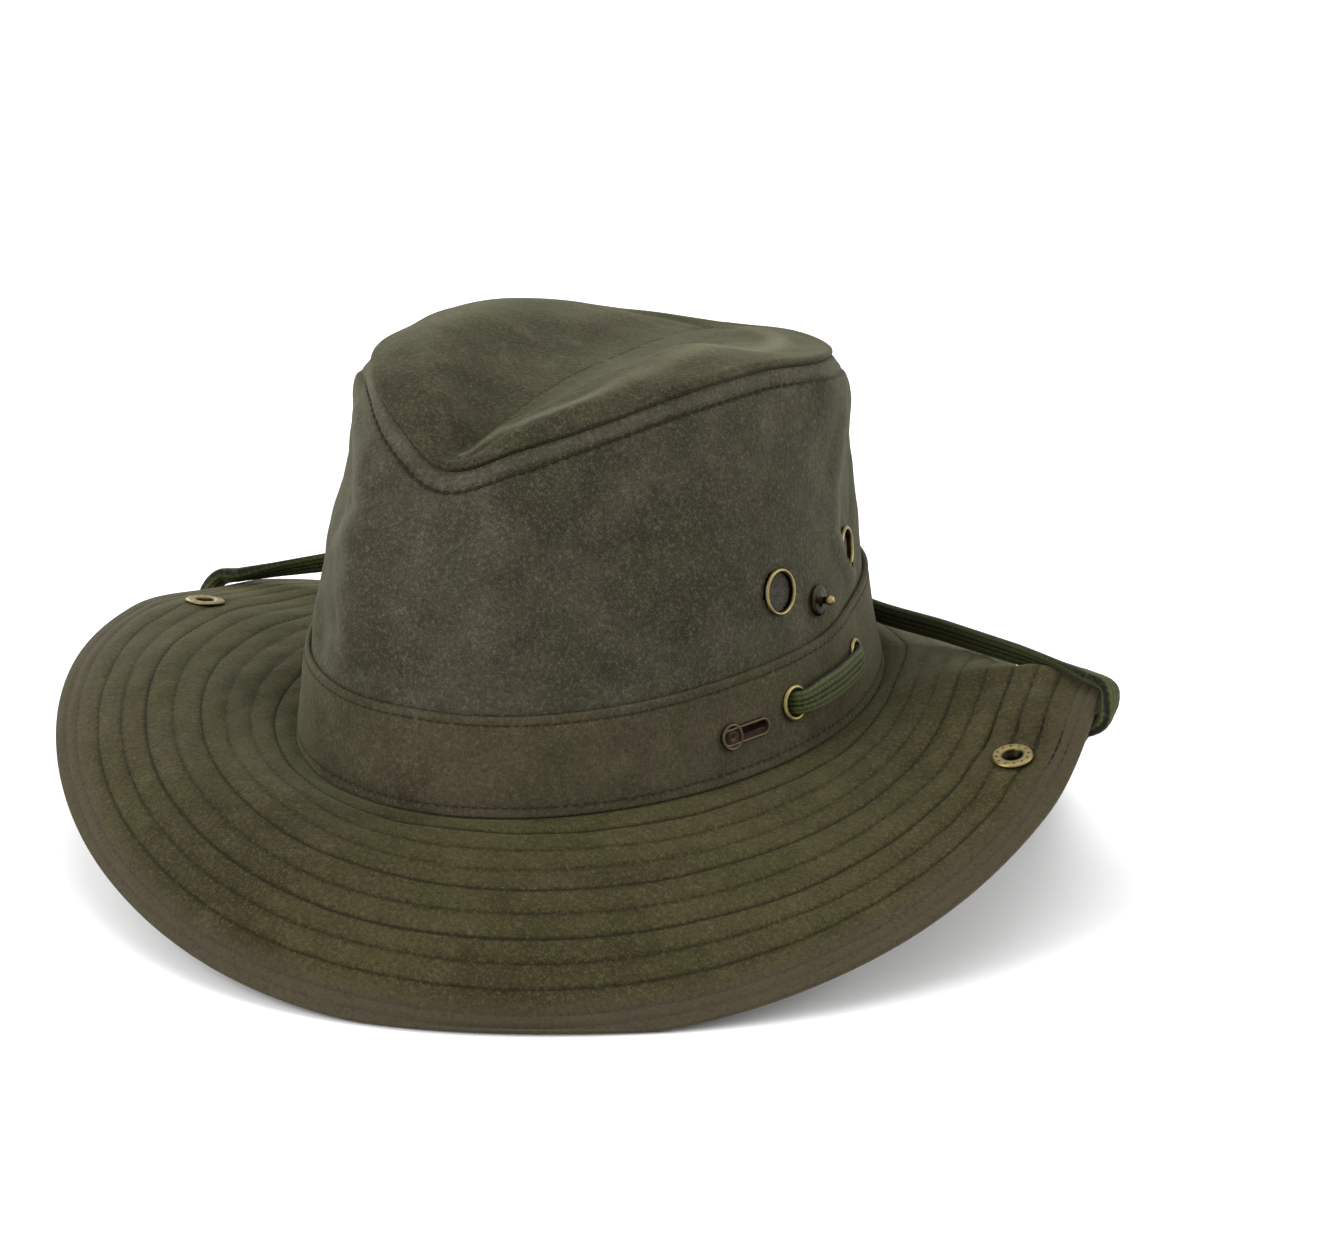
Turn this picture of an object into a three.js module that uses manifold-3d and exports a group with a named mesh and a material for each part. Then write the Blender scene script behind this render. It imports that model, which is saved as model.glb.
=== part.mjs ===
// A soft-brimmed bush hat of waxed cotton, resting on the front and the back of its brim.
// Millimetres, +Z up. The front of the hat faces -Y and the wearer's left is +X.
// An angle around the hat is counted in degrees from the front, positive towards the wearer's left.
import * as THREE from "three";
import { mergeVertices } from "three/addons/utils/BufferGeometryUtils.js";
import Module from "manifold-3d";

// Cloth and clearance
const CROWN_CLOTH = 1.6;
const BAND_CLOTH = 1.4;
const BRIM_THICKNESS = 2.6;
const GAP = 0.3;

// Head oval, measured outside the band at its foot, and the heights above it
const HEAD_HALF_WIDTH = 82;
const HEAD_HALF_LENGTH = 106;
const CROWN_HEIGHT = 111;
const BAND_HEIGHT = 29;

// Brim
const BRIM_WIDTH = 76;
const BRIM_SETTLE = 2.9;
const BRIM_EDGE = 1.8;

// How the whole hat stands on the floor, in degrees
const LEAN_FORWARD = 1.5;
const LEAN_SIDE = 2;

// Metal parts: how far their flanges stand off the curved cloth and how thick they are
const FLANGE_LIFT = 0.6;
const METAL = 0.9;
const TUBE_WALL = 0.6;
const EYELET_RADIUS = 5.5;
const EYELET_HOLE_RADIUS = 3.9;
const EYELET_HEIGHT = 15.5;
const EYELET_ANGLES = { front: 79, back: 103 };
const VENT_RADIUS = 7;
const VENT_HOLE_RADIUS = 5.8;
const VENT_SCREEN_DEPTH = 0.6;
const VENTS = { front: { angle: 80, height: 48 }, back: { angle: 111, height: 44.5 } };
const STUD_RADIUS = 4.7;
const STUD_BALL_RADIUS = 1.6;
const STUD_POST_RADIUS = 1;
const STUD_REACH = 4.4;
const STUD_ANGLE = 91.5;
const STUD_HEIGHT = 39.5;
const SNAP_RADIUS = 6.2;
const SNAP_HOLE_RADIUS = 2.1;
const SNAP_ANGLE = 90;
const SNAP_FROM_EDGE = 18.5;
const BADGE_LENGTH = 19;
const BADGE_HEIGHT = 5.4;
const BADGE_THICKNESS = 1.2;
const BADGE_ANGLE = 66.5;
const BADGE_UP = 13;

// Chin cord, a flat braid, the radius in which it turns at an eyelet and its slack over cloth
const CORD_WIDTH = 7.2;
const CORD_THICKNESS = 2.4;
const CORD_TURN = 3;
const CORD_SLACK = 0.6;
const WRAP_ANGLE_LEFT = 99;
const WRAP_ANGLE_RIGHT = 102.5;

// Facets
const AROUND = 50;
const ROUND_SIDES = 12;
const CORD_SIDES = 8;

// Brim: its downward slope in degrees at the inner and the outer edge, for each side of the hat
const BRIM_SECTIONS = [
  { angle: 0, leftIn: -1, leftOut: 62, rightIn: -1, rightOut: 62 },
  { angle: 30, leftIn: 11, leftOut: 61, rightIn: -26, rightOut: 60 },
  { angle: 60, leftIn: 17, leftOut: 30, rightIn: -34, rightOut: 24 },
  { angle: 85, leftIn: 5, leftOut: 4, rightIn: -20, rightOut: 5 },
  { angle: 101, leftIn: -22, leftOut: 0, rightIn: -8, rightOut: 6 },
  { angle: 108, leftIn: -38, leftOut: 52, rightIn: -4, rightOut: 7 },
  { angle: 119, leftIn: -37, leftOut: 82, rightIn: 4, rightOut: 13 },
  { angle: 135, leftIn: -8, leftOut: 82, rightIn: 8, rightOut: 37 },
  { angle: 150, leftIn: 12, leftOut: 70, rightIn: 14, rightOut: 57 },
  { angle: 180, leftIn: 20, leftOut: 64, rightIn: 20, rightOut: 64 },
];

// Crown wall: how far out it stands at a low and a high level and at its seam, as shares of the
// head oval, and the seam's height on each side as a share of the crown's height
const CROWN_SECTIONS = [
  { angle: 0, low: 0.955, high: 0.88, seamOut: 0.75, leftUp: 0.85, rightUp: 0.85 },
  { angle: 20, low: 0.965, high: 0.885, seamOut: 0.71, leftUp: 0.905, rightUp: 0.92 },
  { angle: 42, low: 0.935, high: 0.8, seamOut: 0.695, leftUp: 0.955, rightUp: 0.985 },
  { angle: 65, low: 0.922, high: 0.82, seamOut: 0.7, leftUp: 0.99, rightUp: 0.985 },
  { angle: 90, low: 0.93, high: 0.835, seamOut: 0.74, leftUp: 0.98, rightUp: 0.945 },
  { angle: 110, low: 0.91, high: 0.87, seamOut: 0.825, leftUp: 0.93, rightUp: 0.92 },
  { angle: 135, low: 0.95, high: 0.905, seamOut: 0.84, leftUp: 0.865, rightUp: 0.875 },
  { angle: 155, low: 0.95, high: 0.88, seamOut: 0.845, leftUp: 0.83, rightUp: 0.83 },
  { angle: 180, low: 0.95, high: 0.87, seamOut: 0.84, leftUp: 0.805, rightUp: 0.805 },
];
const LOW_LEVEL = 0.35;
const HIGH_LEVEL = 0.75;

// Rings of facets, as shares of the way along each sheet
const BRIM_RINGS = [0, 0.12, 0.25, 0.38, 0.51, 0.64, 0.77, 0.88, 0.97, 1];
const WALL_RINGS = [0.14, 0.29, 0.45, 0.62, 0.81, 1];
const BAND_RINGS = [0, 0.5, 1];
const TIP_RINGS = [0, 0.13, 0.26, 0.4, 0.58, 0.78, 1];

// Crown tip: where the lip of its crease lies, as a share of the way in from the seam, and the
// lip's rise over the seam as a share of the crown's height, for each side, then the crease's floor
const TIP_SECTIONS = [
  { angle: 0, leftIn: 0.5, leftRise: 0.01, rightIn: 0.5, rightRise: 0.01, floorUp: 0.865 },
  { angle: 20, leftIn: 0.4, leftRise: 0.025, rightIn: 0.5, rightRise: 0.02, floorUp: 0.872 },
  { angle: 42, leftIn: 0.26, leftRise: 0.03, rightIn: 0.36, rightRise: 0.02, floorUp: 0.885 },
  { angle: 65, leftIn: 0.26, leftRise: 0.035, rightIn: 0.32, rightRise: 0.05, floorUp: 0.9 },
  { angle: 90, leftIn: 0.3, leftRise: 0.035, rightIn: 0.32, rightRise: 0.075, floorUp: 0.9 },
  { angle: 110, leftIn: 0.3, leftRise: 0.005, rightIn: 0.3, rightRise: 0.06, floorUp: 0.885 },
  { angle: 135, leftIn: 0.3, leftRise: 0, rightIn: 0.3, rightRise: 0.03, floorUp: 0.865 },
  { angle: 155, leftIn: 0.36, leftRise: 0.01, rightIn: 0.36, rightRise: 0.01, floorUp: 0.845 },
  { angle: 180, leftIn: 0.5, leftRise: 0.005, rightIn: 0.5, rightRise: 0.005, floorUp: 0.825 },
];
const CREASE_LENGTH = 0.8;

const radians = THREE.MathUtils.degToRad;

// A smooth closed function of the angle through one column of a table, both sides of the hat
function around(rows, leftColumn, rightColumn = leftColumn) {
  const right = rows.slice(1).reverse().map((row) => [-row.angle, row[rightColumn]]);
  const left = rows.slice(0, -1).map((row) => [row.angle, row[leftColumn]]);
  const once = right.concat(left);
  const shifted = (turn) => once.map(([angle, value]) => [angle + turn, value]);
  const knots = shifted(-360).concat(once, shifted(360));
  return (angle) => {
    const here = ((((angle + 180) % 360) + 360) % 360) - 180;
    const next = knots.findIndex(([knot]) => knot > here);
    const [a0, v0] = knots[next - 1];
    const [a1, v1] = knots[next];
    const step = a1 - a0;
    const slope0 = (v1 - knots[next - 2][1]) / (a1 - knots[next - 2][0]);
    const slope1 = (knots[next + 1][1] - v0) / (knots[next + 1][0] - a0);
    const t = (here - a0) / step;
    const left0 = (2 * t - 3) * t * t + 1;
    const left1 = ((t - 2) * t + 1) * t * step;
    const right1 = (t - 1) * t * t * step;
    return left0 * v0 + left1 * slope0 + (1 - left0) * v1 + right1 * slope1;
  };
}

const innerSlope = around(BRIM_SECTIONS, "leftIn", "rightIn");
const outerSlope = around(BRIM_SECTIONS, "leftOut", "rightOut");
const lowOut = around(CROWN_SECTIONS, "low");
const highOut = around(CROWN_SECTIONS, "high");
const seamOut = around(CROWN_SECTIONS, "seamOut");
const seamUp = around(CROWN_SECTIONS, "leftUp", "rightUp");
const lipIn = around(TIP_SECTIONS, "leftIn", "rightIn");
const lipRise = around(TIP_SECTIONS, "leftRise", "rightRise");
const floorUp = around(TIP_SECTIONS, "floorUp");

// A point of the head oval scaled by a share, at a height
function ovalPoint(angle, share, height) {
  const turn = radians(angle);
  return new THREE.Vector3(
    HEAD_HALF_WIDTH * share * Math.sin(turn),
    -HEAD_HALF_LENGTH * share * Math.cos(turn),
    height,
  );
}

// The horizontal direction square to the head oval, pointing out
function outward(angle) {
  const turn = radians(angle);
  const out = new THREE.Vector3(
    HEAD_HALF_LENGTH * Math.sin(turn),
    -HEAD_HALF_WIDTH * Math.cos(turn),
    0,
  );
  return out.normalize();
}

// The upper face of the brim, at a share of its width from the band
function brimTop(angle, share) {
  const steps = 8;
  const point = ovalPoint(angle, 1, 0);
  const out = outward(angle);
  for (let i = 0; i < steps; i += 1) {
    const here = (share * (i + 0.5)) / steps;
    const slope = radians(THREE.MathUtils.lerp(innerSlope(angle), outerSlope(angle), here));
    const length = (BRIM_WIDTH * share) / steps;
    point.addScaledVector(out, length * Math.cos(slope));
    point.z -= length * Math.sin(slope);
  }
  return point;
}

// The outer face of the crown wall, inside the band, at a share of its height
function wallFace(angle, share) {
  const levels = [0, LOW_LEVEL, HIGH_LEVEL, 1];
  const outs = [1, lowOut(angle), highOut(angle), seamOut(angle)];
  let out = 0;
  levels.forEach((level, i) => {
    let weight = outs[i];
    levels.forEach((other, j) => {
      if (j !== i) {
        weight *= (share - other) / (level - other);
      }
    });
    out += weight;
  });
  const point = ovalPoint(angle, out, GAP + share * seamUp(angle) * CROWN_HEIGHT);
  const behindBand = BAND_CLOTH + GAP;
  return point.addScaledVector(outward(angle), -behindBand * (1 - share));
}

// The outer face of the crown tip, at a share of the way from its seam to the crease
function tipFace(angle, share) {
  const seam = wallFace(angle, 1);
  const floor = new THREE.Vector3(0, seam.y * CREASE_LENGTH, floorUp(angle) * CROWN_HEIGHT);
  const lip = seam.z + lipRise(angle) * CROWN_HEIGHT;
  const lipAt = lipIn(angle);
  const point = seam.clone().lerp(floor, share);
  if (share < lipAt) {
    point.z = seam.z + (lip - seam.z) * Math.sin((Math.PI / 2) * (share / lipAt));
  } else {
    const fall = (share - lipAt) / (1 - lipAt);
    point.z = floor.z + (lip - floor.z) * (0.5 + 0.5 * Math.cos(Math.PI * fall));
  }
  return point;
}

// The normal of a face given as a function of angle and share, on its outer side
function normalOf(face, angle, share, away) {
  const turn = 2;
  const step = 0.02;
  const from = Math.max(0, share - step);
  const to = Math.min(1, share + step);
  const along = face(angle + turn, share).sub(face(angle - turn, share));
  const across = face(angle, to).sub(face(angle, from));
  const normal = along.cross(across).normalize();
  return normal.dot(away) < 0 ? normal.negate() : normal;
}

// Where the hat comes to rest: leaned, lifted until it sinks into the floor by the settle, centred
const leanSide = new THREE.Quaternion().setFromAxisAngle(
  new THREE.Vector3(0, 1, 0),
  -radians(LEAN_SIDE),
);
const leanForward = new THREE.Quaternion().setFromAxisAngle(
  new THREE.Vector3(1, 0, 0),
  radians(LEAN_FORWARD),
);
const lean = leanForward.clone().multiply(leanSide);
const upward = new THREE.Vector3(0, 0, 1);
const angles = Array.from({ length: AROUND }, (_, i) => (360 * i) / AROUND - 180);

function brimUnder(angle, share) {
  const normal = normalOf(brimTop, angle, share, upward);
  return brimTop(angle, share).addScaledVector(normal, -BRIM_THICKNESS);
}

const brimBox = new THREE.Box3();
for (const angle of angles) {
  brimBox.expandByPoint(brimTop(angle, 1).applyQuaternion(lean));
  brimBox.expandByPoint(brimUnder(angle, 1).applyQuaternion(lean));
}
const seat = brimBox.getCenter(new THREE.Vector3()).negate();
seat.z = -brimBox.min.z - BRIM_SETTLE;

function rest(point) {
  return point.applyQuaternion(lean).add(seat);
}

// The cloth that meets the floor lies flat on it
function restBrim(point, lowest) {
  const placed = rest(point);
  placed.z = Math.max(placed.z, lowest);
  return placed;
}

// A closed sheet: rings of points on its outer face, then rings on its inner face, going back.
// The quads of both faces are split along the same diagonal, so that layers stay apart.
function closedSheet(outer, inner) {
  const rings = outer.concat(inner.slice().reverse());
  const count = rings[0].length;
  const positions = rings.flat().flatMap((point) => point.toArray());
  const faces = [];
  rings.forEach((ring, i) => {
    const next = (i + 1) % rings.length;
    for (let j = 0; j < count; j += 1) {
      const k = (j + 1) % count;
      const a = i * count + j;
      const b = i * count + k;
      const c = next * count + k;
      const d = next * count + j;
      if (i < outer.length) {
        faces.push(a, b, c, a, c, d);
      } else {
        faces.push(a, b, d, b, c, d);
      }
    }
  });
  return facing(positions, faces);
}

// A closed cap: rings that end in a crease, where each point meets the one across the hat
function closedCap(outer, inner) {
  const count = outer[0].length;
  const positions = [];
  const faces = [];
  const zip = (j) => Math.min(j, (count - j) % count);
  const skin = (rings, flip) => {
    const base = positions.length / 3;
    rings.flat().forEach((point) => positions.push(...point.toArray()));
    const index = (i, j) => base + i * count + (i === rings.length - 1 ? zip(j) : j);
    for (let i = 0; i < rings.length - 1; i += 1) {
      for (let j = 0; j < count; j += 1) {
        const k = (j + 1) % count;
        const corners = [index(i, j), index(i, k), index(i + 1, k), index(i + 1, j)];
        pushQuad(faces, corners, flip);
      }
    }
    return base;
  };
  const top = skin(outer, false);
  const under = skin(inner, true);
  for (let j = 0; j < count; j += 1) {
    const k = (j + 1) % count;
    pushQuad(faces, [top + k, top + j, under + j, under + k], false);
  }
  return facing(positions, faces);
}

// Two triangles of a quad, leaving out one that the crease closes up
function pushQuad(faces, corners, flip) {
  const [a, b, c, d] = flip ? corners.slice().reverse() : corners;
  for (const triangle of [[a, b, c], [a, c, d]]) {
    if (new Set(triangle).size === 3) {
      faces.push(...triangle);
    }
  }
}

// A geometry from points and triangles, turned so that its faces point out
function facing(positions, faces) {
  const geometry = new THREE.BufferGeometry();
  geometry.setAttribute("position", new THREE.Float32BufferAttribute(positions, 3));
  geometry.setIndex(signedVolume(positions, faces) < 0 ? faces.slice().reverse() : faces);
  return geometry;
}

function signedVolume(positions, faces) {
  const corner = (i) => new THREE.Vector3().fromArray(positions, 3 * faces[i]);
  let volume = 0;
  for (let i = 0; i < faces.length; i += 3) {
    volume += corner(i).dot(corner(i + 1).cross(corner(i + 2))) / 6;
  }
  return volume;
}

// Solids that are cut
const wasm = await Module();
wasm.setup();

function solidOf(geometry) {
  const bare = geometry.clone();
  bare.deleteAttribute("normal");
  bare.deleteAttribute("uv");
  const merged = mergeVertices(bare);
  return new wasm.Manifold(
    new wasm.Mesh({
      numProp: 3,
      vertProperties: merged.attributes.position.array,
      triVerts: new Uint32Array(merged.index.array),
    }),
  );
}

function geometryOf(solid) {
  const mesh = solid.getMesh();
  const geometry = new THREE.BufferGeometry();
  geometry.setAttribute("position", new THREE.BufferAttribute(mesh.vertProperties, 3));
  geometry.setIndex(new THREE.BufferAttribute(mesh.triVerts, 1));
  return geometry;
}

function drill(geometry, cutters) {
  const cut = cutters.reduce((solid, cutter) => solid.subtract(solidOf(cutter)), solidOf(geometry));
  return geometryOf(cut);
}

// A round part turned about the local Z axis, from a closed profile of radius and height
function turned(profile) {
  const points = profile.map(([radius, height]) => new THREE.Vector2(radius, height)).reverse();
  const geometry = new THREE.LatheGeometry(points, ROUND_SIDES);
  return geometry.rotateX(Math.PI / 2);
}

// A frame on a face of the resting hat: local Z looks out of it and local Y goes up along it
function frameOn(face, angle, share, away, lift = 0) {
  const normal = normalOf(face, angle, share, away).applyQuaternion(lean);
  const centre = rest(face(angle, share)).addScaledVector(normal, lift);
  const side = upward.clone().applyQuaternion(lean).cross(normal).normalize();
  const up = normal.clone().cross(side);
  return new THREE.Matrix4().makeBasis(side, up, normal).setPosition(centre);
}

// The wall behind the band and above it, and the outer face of the band
function bandTopLevel(angle) {
  return BAND_HEIGHT / (seamUp(angle) * CROWN_HEIGHT);
}

function lowerWall(angle, share) {
  return wallFace(angle, share * bandTopLevel(angle));
}

function upperWall(angle, share) {
  return wallFace(angle, THREE.MathUtils.lerp(bandTopLevel(angle), 1, share));
}

function bandFace(angle, share) {
  return lowerWall(angle, share).addScaledVector(outward(angle), BAND_CLOTH + GAP);
}

// One ring of points on a face of the hat, moved as asked in its own frame, then brought to rest
function ring(face, share, out = 0, up = 0) {
  return angles.map((angle) => {
    const point = face(angle, share).addScaledVector(outward(angle), out);
    point.z += up;
    return rest(point);
  });
}

// A frame at a point, set level with the hat's foot
function levelFrame(point, angle) {
  const out = outward(angle).applyQuaternion(lean);
  const up = upward.clone().applyQuaternion(lean);
  return new THREE.Matrix4().makeBasis(up.clone().cross(out), up, out).setPosition(rest(point));
}

// A frame on the brim's upper face, whose Y axis looks out of it
function brimFrame(angle, share) {
  const up = normalOf(brimTop, angle, share, upward);
  const out = upward.clone().cross(outward(angle)).cross(up).normalize();
  const axes = [up.clone().cross(out), up, out].map((axis) => axis.applyQuaternion(lean));
  return new THREE.Matrix4().makeBasis(...axes).setPosition(rest(brimTop(angle, share)));
}

const object = new THREE.Group();

function add(name, geometry, color, roughness, metalness) {
  const material = new THREE.MeshStandardMaterial({ color, roughness, metalness });
  const mesh = new THREE.Mesh(geometry, material);
  mesh.name = name;
  object.add(mesh);
  return mesh;
}

const CLOTH_COLOR = 0x4c493c;
const BRIM_COLOR = 0x4e4a36;
const BRASS_COLOR = 0xa8925c;
const BRONZE_COLOR = 0x4a4034;
const CORD_COLOR = 0x2c3a1c;

// The side of each part on the hat: the wearer's left is 1
const sides = [
  { name: "left", sign: 1 },
  { name: "right", sign: -1 },
];

// Brim: one closed sheet that reaches in under the band and the wall
const wallInset = BAND_CLOTH + GAP + CROWN_CLOTH;
const brimFoot = (angle) => ovalPoint(angle, 1, 0);
const brimUpper = BRIM_RINGS.map((share) =>
  angles.map((angle) => restBrim(brimTop(angle, share), BRIM_EDGE)),
);
const brimLower = BRIM_RINGS.map((share) =>
  angles.map((angle) => restBrim(brimUnder(angle, share), 0)),
);
brimUpper.unshift(ring(brimFoot, 0, -wallInset));
brimLower.unshift(ring(brimFoot, 0, -wallInset, -BRIM_THICKNESS));
const brim = closedSheet(brimUpper, brimLower);

// Crown wall, band and tip
const wallSkin = (out) => {
  const lower = BAND_RINGS.map((share) => ring(lowerWall, share, out));
  return lower.concat(WALL_RINGS.map((share) => ring(upperWall, share, out)));
};
const wall = closedSheet(wallSkin(0), wallSkin(-CROWN_CLOTH));
const bandOuter = BAND_RINGS.map((share) => ring(bandFace, share));
const bandInner = BAND_RINGS.map((share) => ring(bandFace, share, -BAND_CLOTH));
const band = closedSheet(bandOuter, bandInner);
const tipOuter = TIP_RINGS.map((share) => ring(tipFace, share, 0, GAP + CROWN_CLOTH));
const tipInner = TIP_RINGS.map((share) => ring(tipFace, share, 0, GAP));
const tip = closedCap(tipOuter, tipInner);

// Round metal parts, as closed profiles of radius and height over the cloth that they pass
function riveted(hole, tube, front, flange, depth) {
  const back = -depth - FLANGE_LIFT;
  return [
    ...front,
    [flange, FLANGE_LIFT],
    [tube, FLANGE_LIFT],
    [tube, back],
    [flange, back],
    [flange, back - METAL],
    [hole, back - METAL],
  ];
}

function closed(profile) {
  return profile.concat([profile[0]]);
}

const flangeTop = FLANGE_LIFT + METAL;
const bevel = METAL / 2;
const eyeletTube = EYELET_HOLE_RADIUS + TUBE_WALL;
const eyeletRim = [
  [EYELET_HOLE_RADIUS, flangeTop],
  [EYELET_RADIUS - bevel, flangeTop],
  [EYELET_RADIUS, flangeTop - bevel],
];
const eyeletShape = closed(
  riveted(EYELET_HOLE_RADIUS, eyeletTube, eyeletRim, EYELET_RADIUS, wallInset),
);

const ventTube = VENT_HOLE_RADIUS + TUBE_WALL;
const ventFront = [
  [0, -VENT_SCREEN_DEPTH],
  [VENT_HOLE_RADIUS, -VENT_SCREEN_DEPTH],
  [VENT_HOLE_RADIUS, flangeTop],
  [VENT_RADIUS - bevel, flangeTop],
  [VENT_RADIUS, flangeTop - bevel],
];
const ventBack = [
  [VENT_HOLE_RADIUS, -VENT_SCREEN_DEPTH - TUBE_WALL],
  [0, -VENT_SCREEN_DEPTH - TUBE_WALL],
];
const ventShape = closed(
  riveted(VENT_HOLE_RADIUS, ventTube, ventFront, VENT_RADIUS, CROWN_CLOTH).concat(ventBack),
);

const studFront = [
  [0, STUD_REACH + STUD_BALL_RADIUS],
  [STUD_BALL_RADIUS * 0.7, STUD_REACH + STUD_BALL_RADIUS * 0.7],
  [STUD_BALL_RADIUS, STUD_REACH],
  [STUD_BALL_RADIUS * 0.7, STUD_REACH - STUD_BALL_RADIUS * 0.7],
  [STUD_POST_RADIUS, flangeTop + bevel],
  [STUD_RADIUS - METAL, flangeTop],
  [STUD_RADIUS, flangeTop - bevel],
];
const studShape = closed(
  riveted(0, STUD_POST_RADIUS, studFront, STUD_RADIUS, CROWN_CLOTH),
);

const snapTube = SNAP_HOLE_RADIUS + 2 * TUBE_WALL;
const snapRim = [
  [SNAP_HOLE_RADIUS, flangeTop - bevel],
  [snapTube, flangeTop - bevel],
  [snapTube + bevel, flangeTop],
  [SNAP_RADIUS - bevel, flangeTop],
  [SNAP_RADIUS, flangeTop - bevel],
];
const snapShape = closed(
  riveted(SNAP_HOLE_RADIUS, snapTube, snapRim, SNAP_RADIUS, BRIM_THICKNESS),
);

// Badge: a plain bar with round ends
const badgeOutline = new THREE.Shape();
const badgeEnd = BADGE_HEIGHT / 2;
const badgeReach = BADGE_LENGTH / 2 - badgeEnd;
badgeOutline.absarc(badgeReach, 0, badgeEnd, -Math.PI / 2, Math.PI / 2);
badgeOutline.absarc(-badgeReach, 0, badgeEnd, Math.PI / 2, (3 * Math.PI) / 2);
const badgeShape = new THREE.ExtrudeGeometry(badgeOutline, {
  depth: BADGE_THICKNESS,
  bevelEnabled: false,
  curveSegments: ROUND_SIDES / 2,
});

// Where the metal parts sit, and the holes that they need in the wall, the band and the brim
const metalParts = [];
const wallHoles = [];
const bandHoles = [];
const brimHoles = [];
const snapShare = 1 - SNAP_FROM_EDGE / BRIM_WIDTH;
const eyeletShare = EYELET_HEIGHT / BAND_HEIGHT;
const onBand = (angle) => frameOn(bandFace, angle, eyeletShare, outward(angle));
const heightShare = (angle, height) => height / (seamUp(angle) * CROWN_HEIGHT);

function hole(radius, place) {
  const cutter = new THREE.CylinderGeometry(radius + GAP, radius + GAP, 4 * radius, ROUND_SIDES);
  return cutter.rotateX(Math.PI / 2).applyMatrix4(place);
}

for (const { name, sign } of sides) {
  for (const [end, angle] of Object.entries(EYELET_ANGLES)) {
    const place = onBand(sign * angle);
    metalParts.push([`band_eyelet_${name}_${end}`, turned(eyeletShape).applyMatrix4(place)]);
    bandHoles.push(hole(eyeletTube, place));
    wallHoles.push(hole(eyeletTube, place));
  }
  for (const [end, { angle, height }] of Object.entries(VENTS)) {
    const share = heightShare(angle, height);
    const place = frameOn(wallFace, sign * angle, share, outward(sign * angle));
    metalParts.push([`vent_${name}_${end}`, turned(ventShape).applyMatrix4(place)]);
    wallHoles.push(hole(ventTube, place));
  }
  const studShare = heightShare(STUD_ANGLE, STUD_HEIGHT);
  const studAngle = sign * STUD_ANGLE;
  const studPlace = frameOn(wallFace, studAngle, studShare, outward(studAngle));
  metalParts.push([`crown_stud_${name}`, turned(studShape).applyMatrix4(studPlace)]);
  wallHoles.push(hole(STUD_POST_RADIUS, studPlace));
  const snapPlace = frameOn(brimTop, sign * SNAP_ANGLE, snapShare, upward);
  metalParts.push([`brim_snap_${name}`, turned(snapShape).applyMatrix4(snapPlace)]);
  brimHoles.push(hole(snapTube, snapPlace));
}
const badgeAway = outward(BADGE_ANGLE);
const badgePlace = frameOn(bandFace, BADGE_ANGLE, BADGE_UP / BAND_HEIGHT, badgeAway, FLANGE_LIFT);

// Chin cord: a path through stops, each with the direction that the braid's flat side faces there
class BraidPath extends THREE.CatmullRomCurve3 {
  constructor(stops) {
    super(stops.map((stop) => stop.point));
    this.facings = stops.map((stop) => stop.facing);
  }

  getSpacedPoints(steps) {
    return this.getPoints(steps);
  }

  computeFrenetFrames(steps) {
    const frames = { tangents: [], normals: [], binormals: [] };
    for (let i = 0; i <= steps; i += 1) {
      const tangent = this.getTangent(i / steps);
      const across = tangent.clone().cross(this.facings[i]).normalize();
      frames.tangents.push(tangent);
      frames.normals.push(across.clone().cross(tangent));
      frames.binormals.push(across);
    }
    return frames;
  }
}

const cordOnMetal = flangeTop + GAP + CORD_THICKNESS / 2;
const cordOnCloth = CORD_SLACK + CORD_THICKNESS / 2;
const cordInside = -(wallInset + cordOnMetal);
const cordUnder = -(BRIM_THICKNESS + cordOnCloth + CORD_SLACK);
const bend = CORD_TURN;
const slant = 0.3 * CORD_TURN;
const onFoot = (angle) => levelFrame(ovalPoint(angle, 1, 0), angle);
const onBrim = (share) => (angle) => brimFrame(angle, share);
const { front, back } = EYELET_ANGLES;
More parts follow.
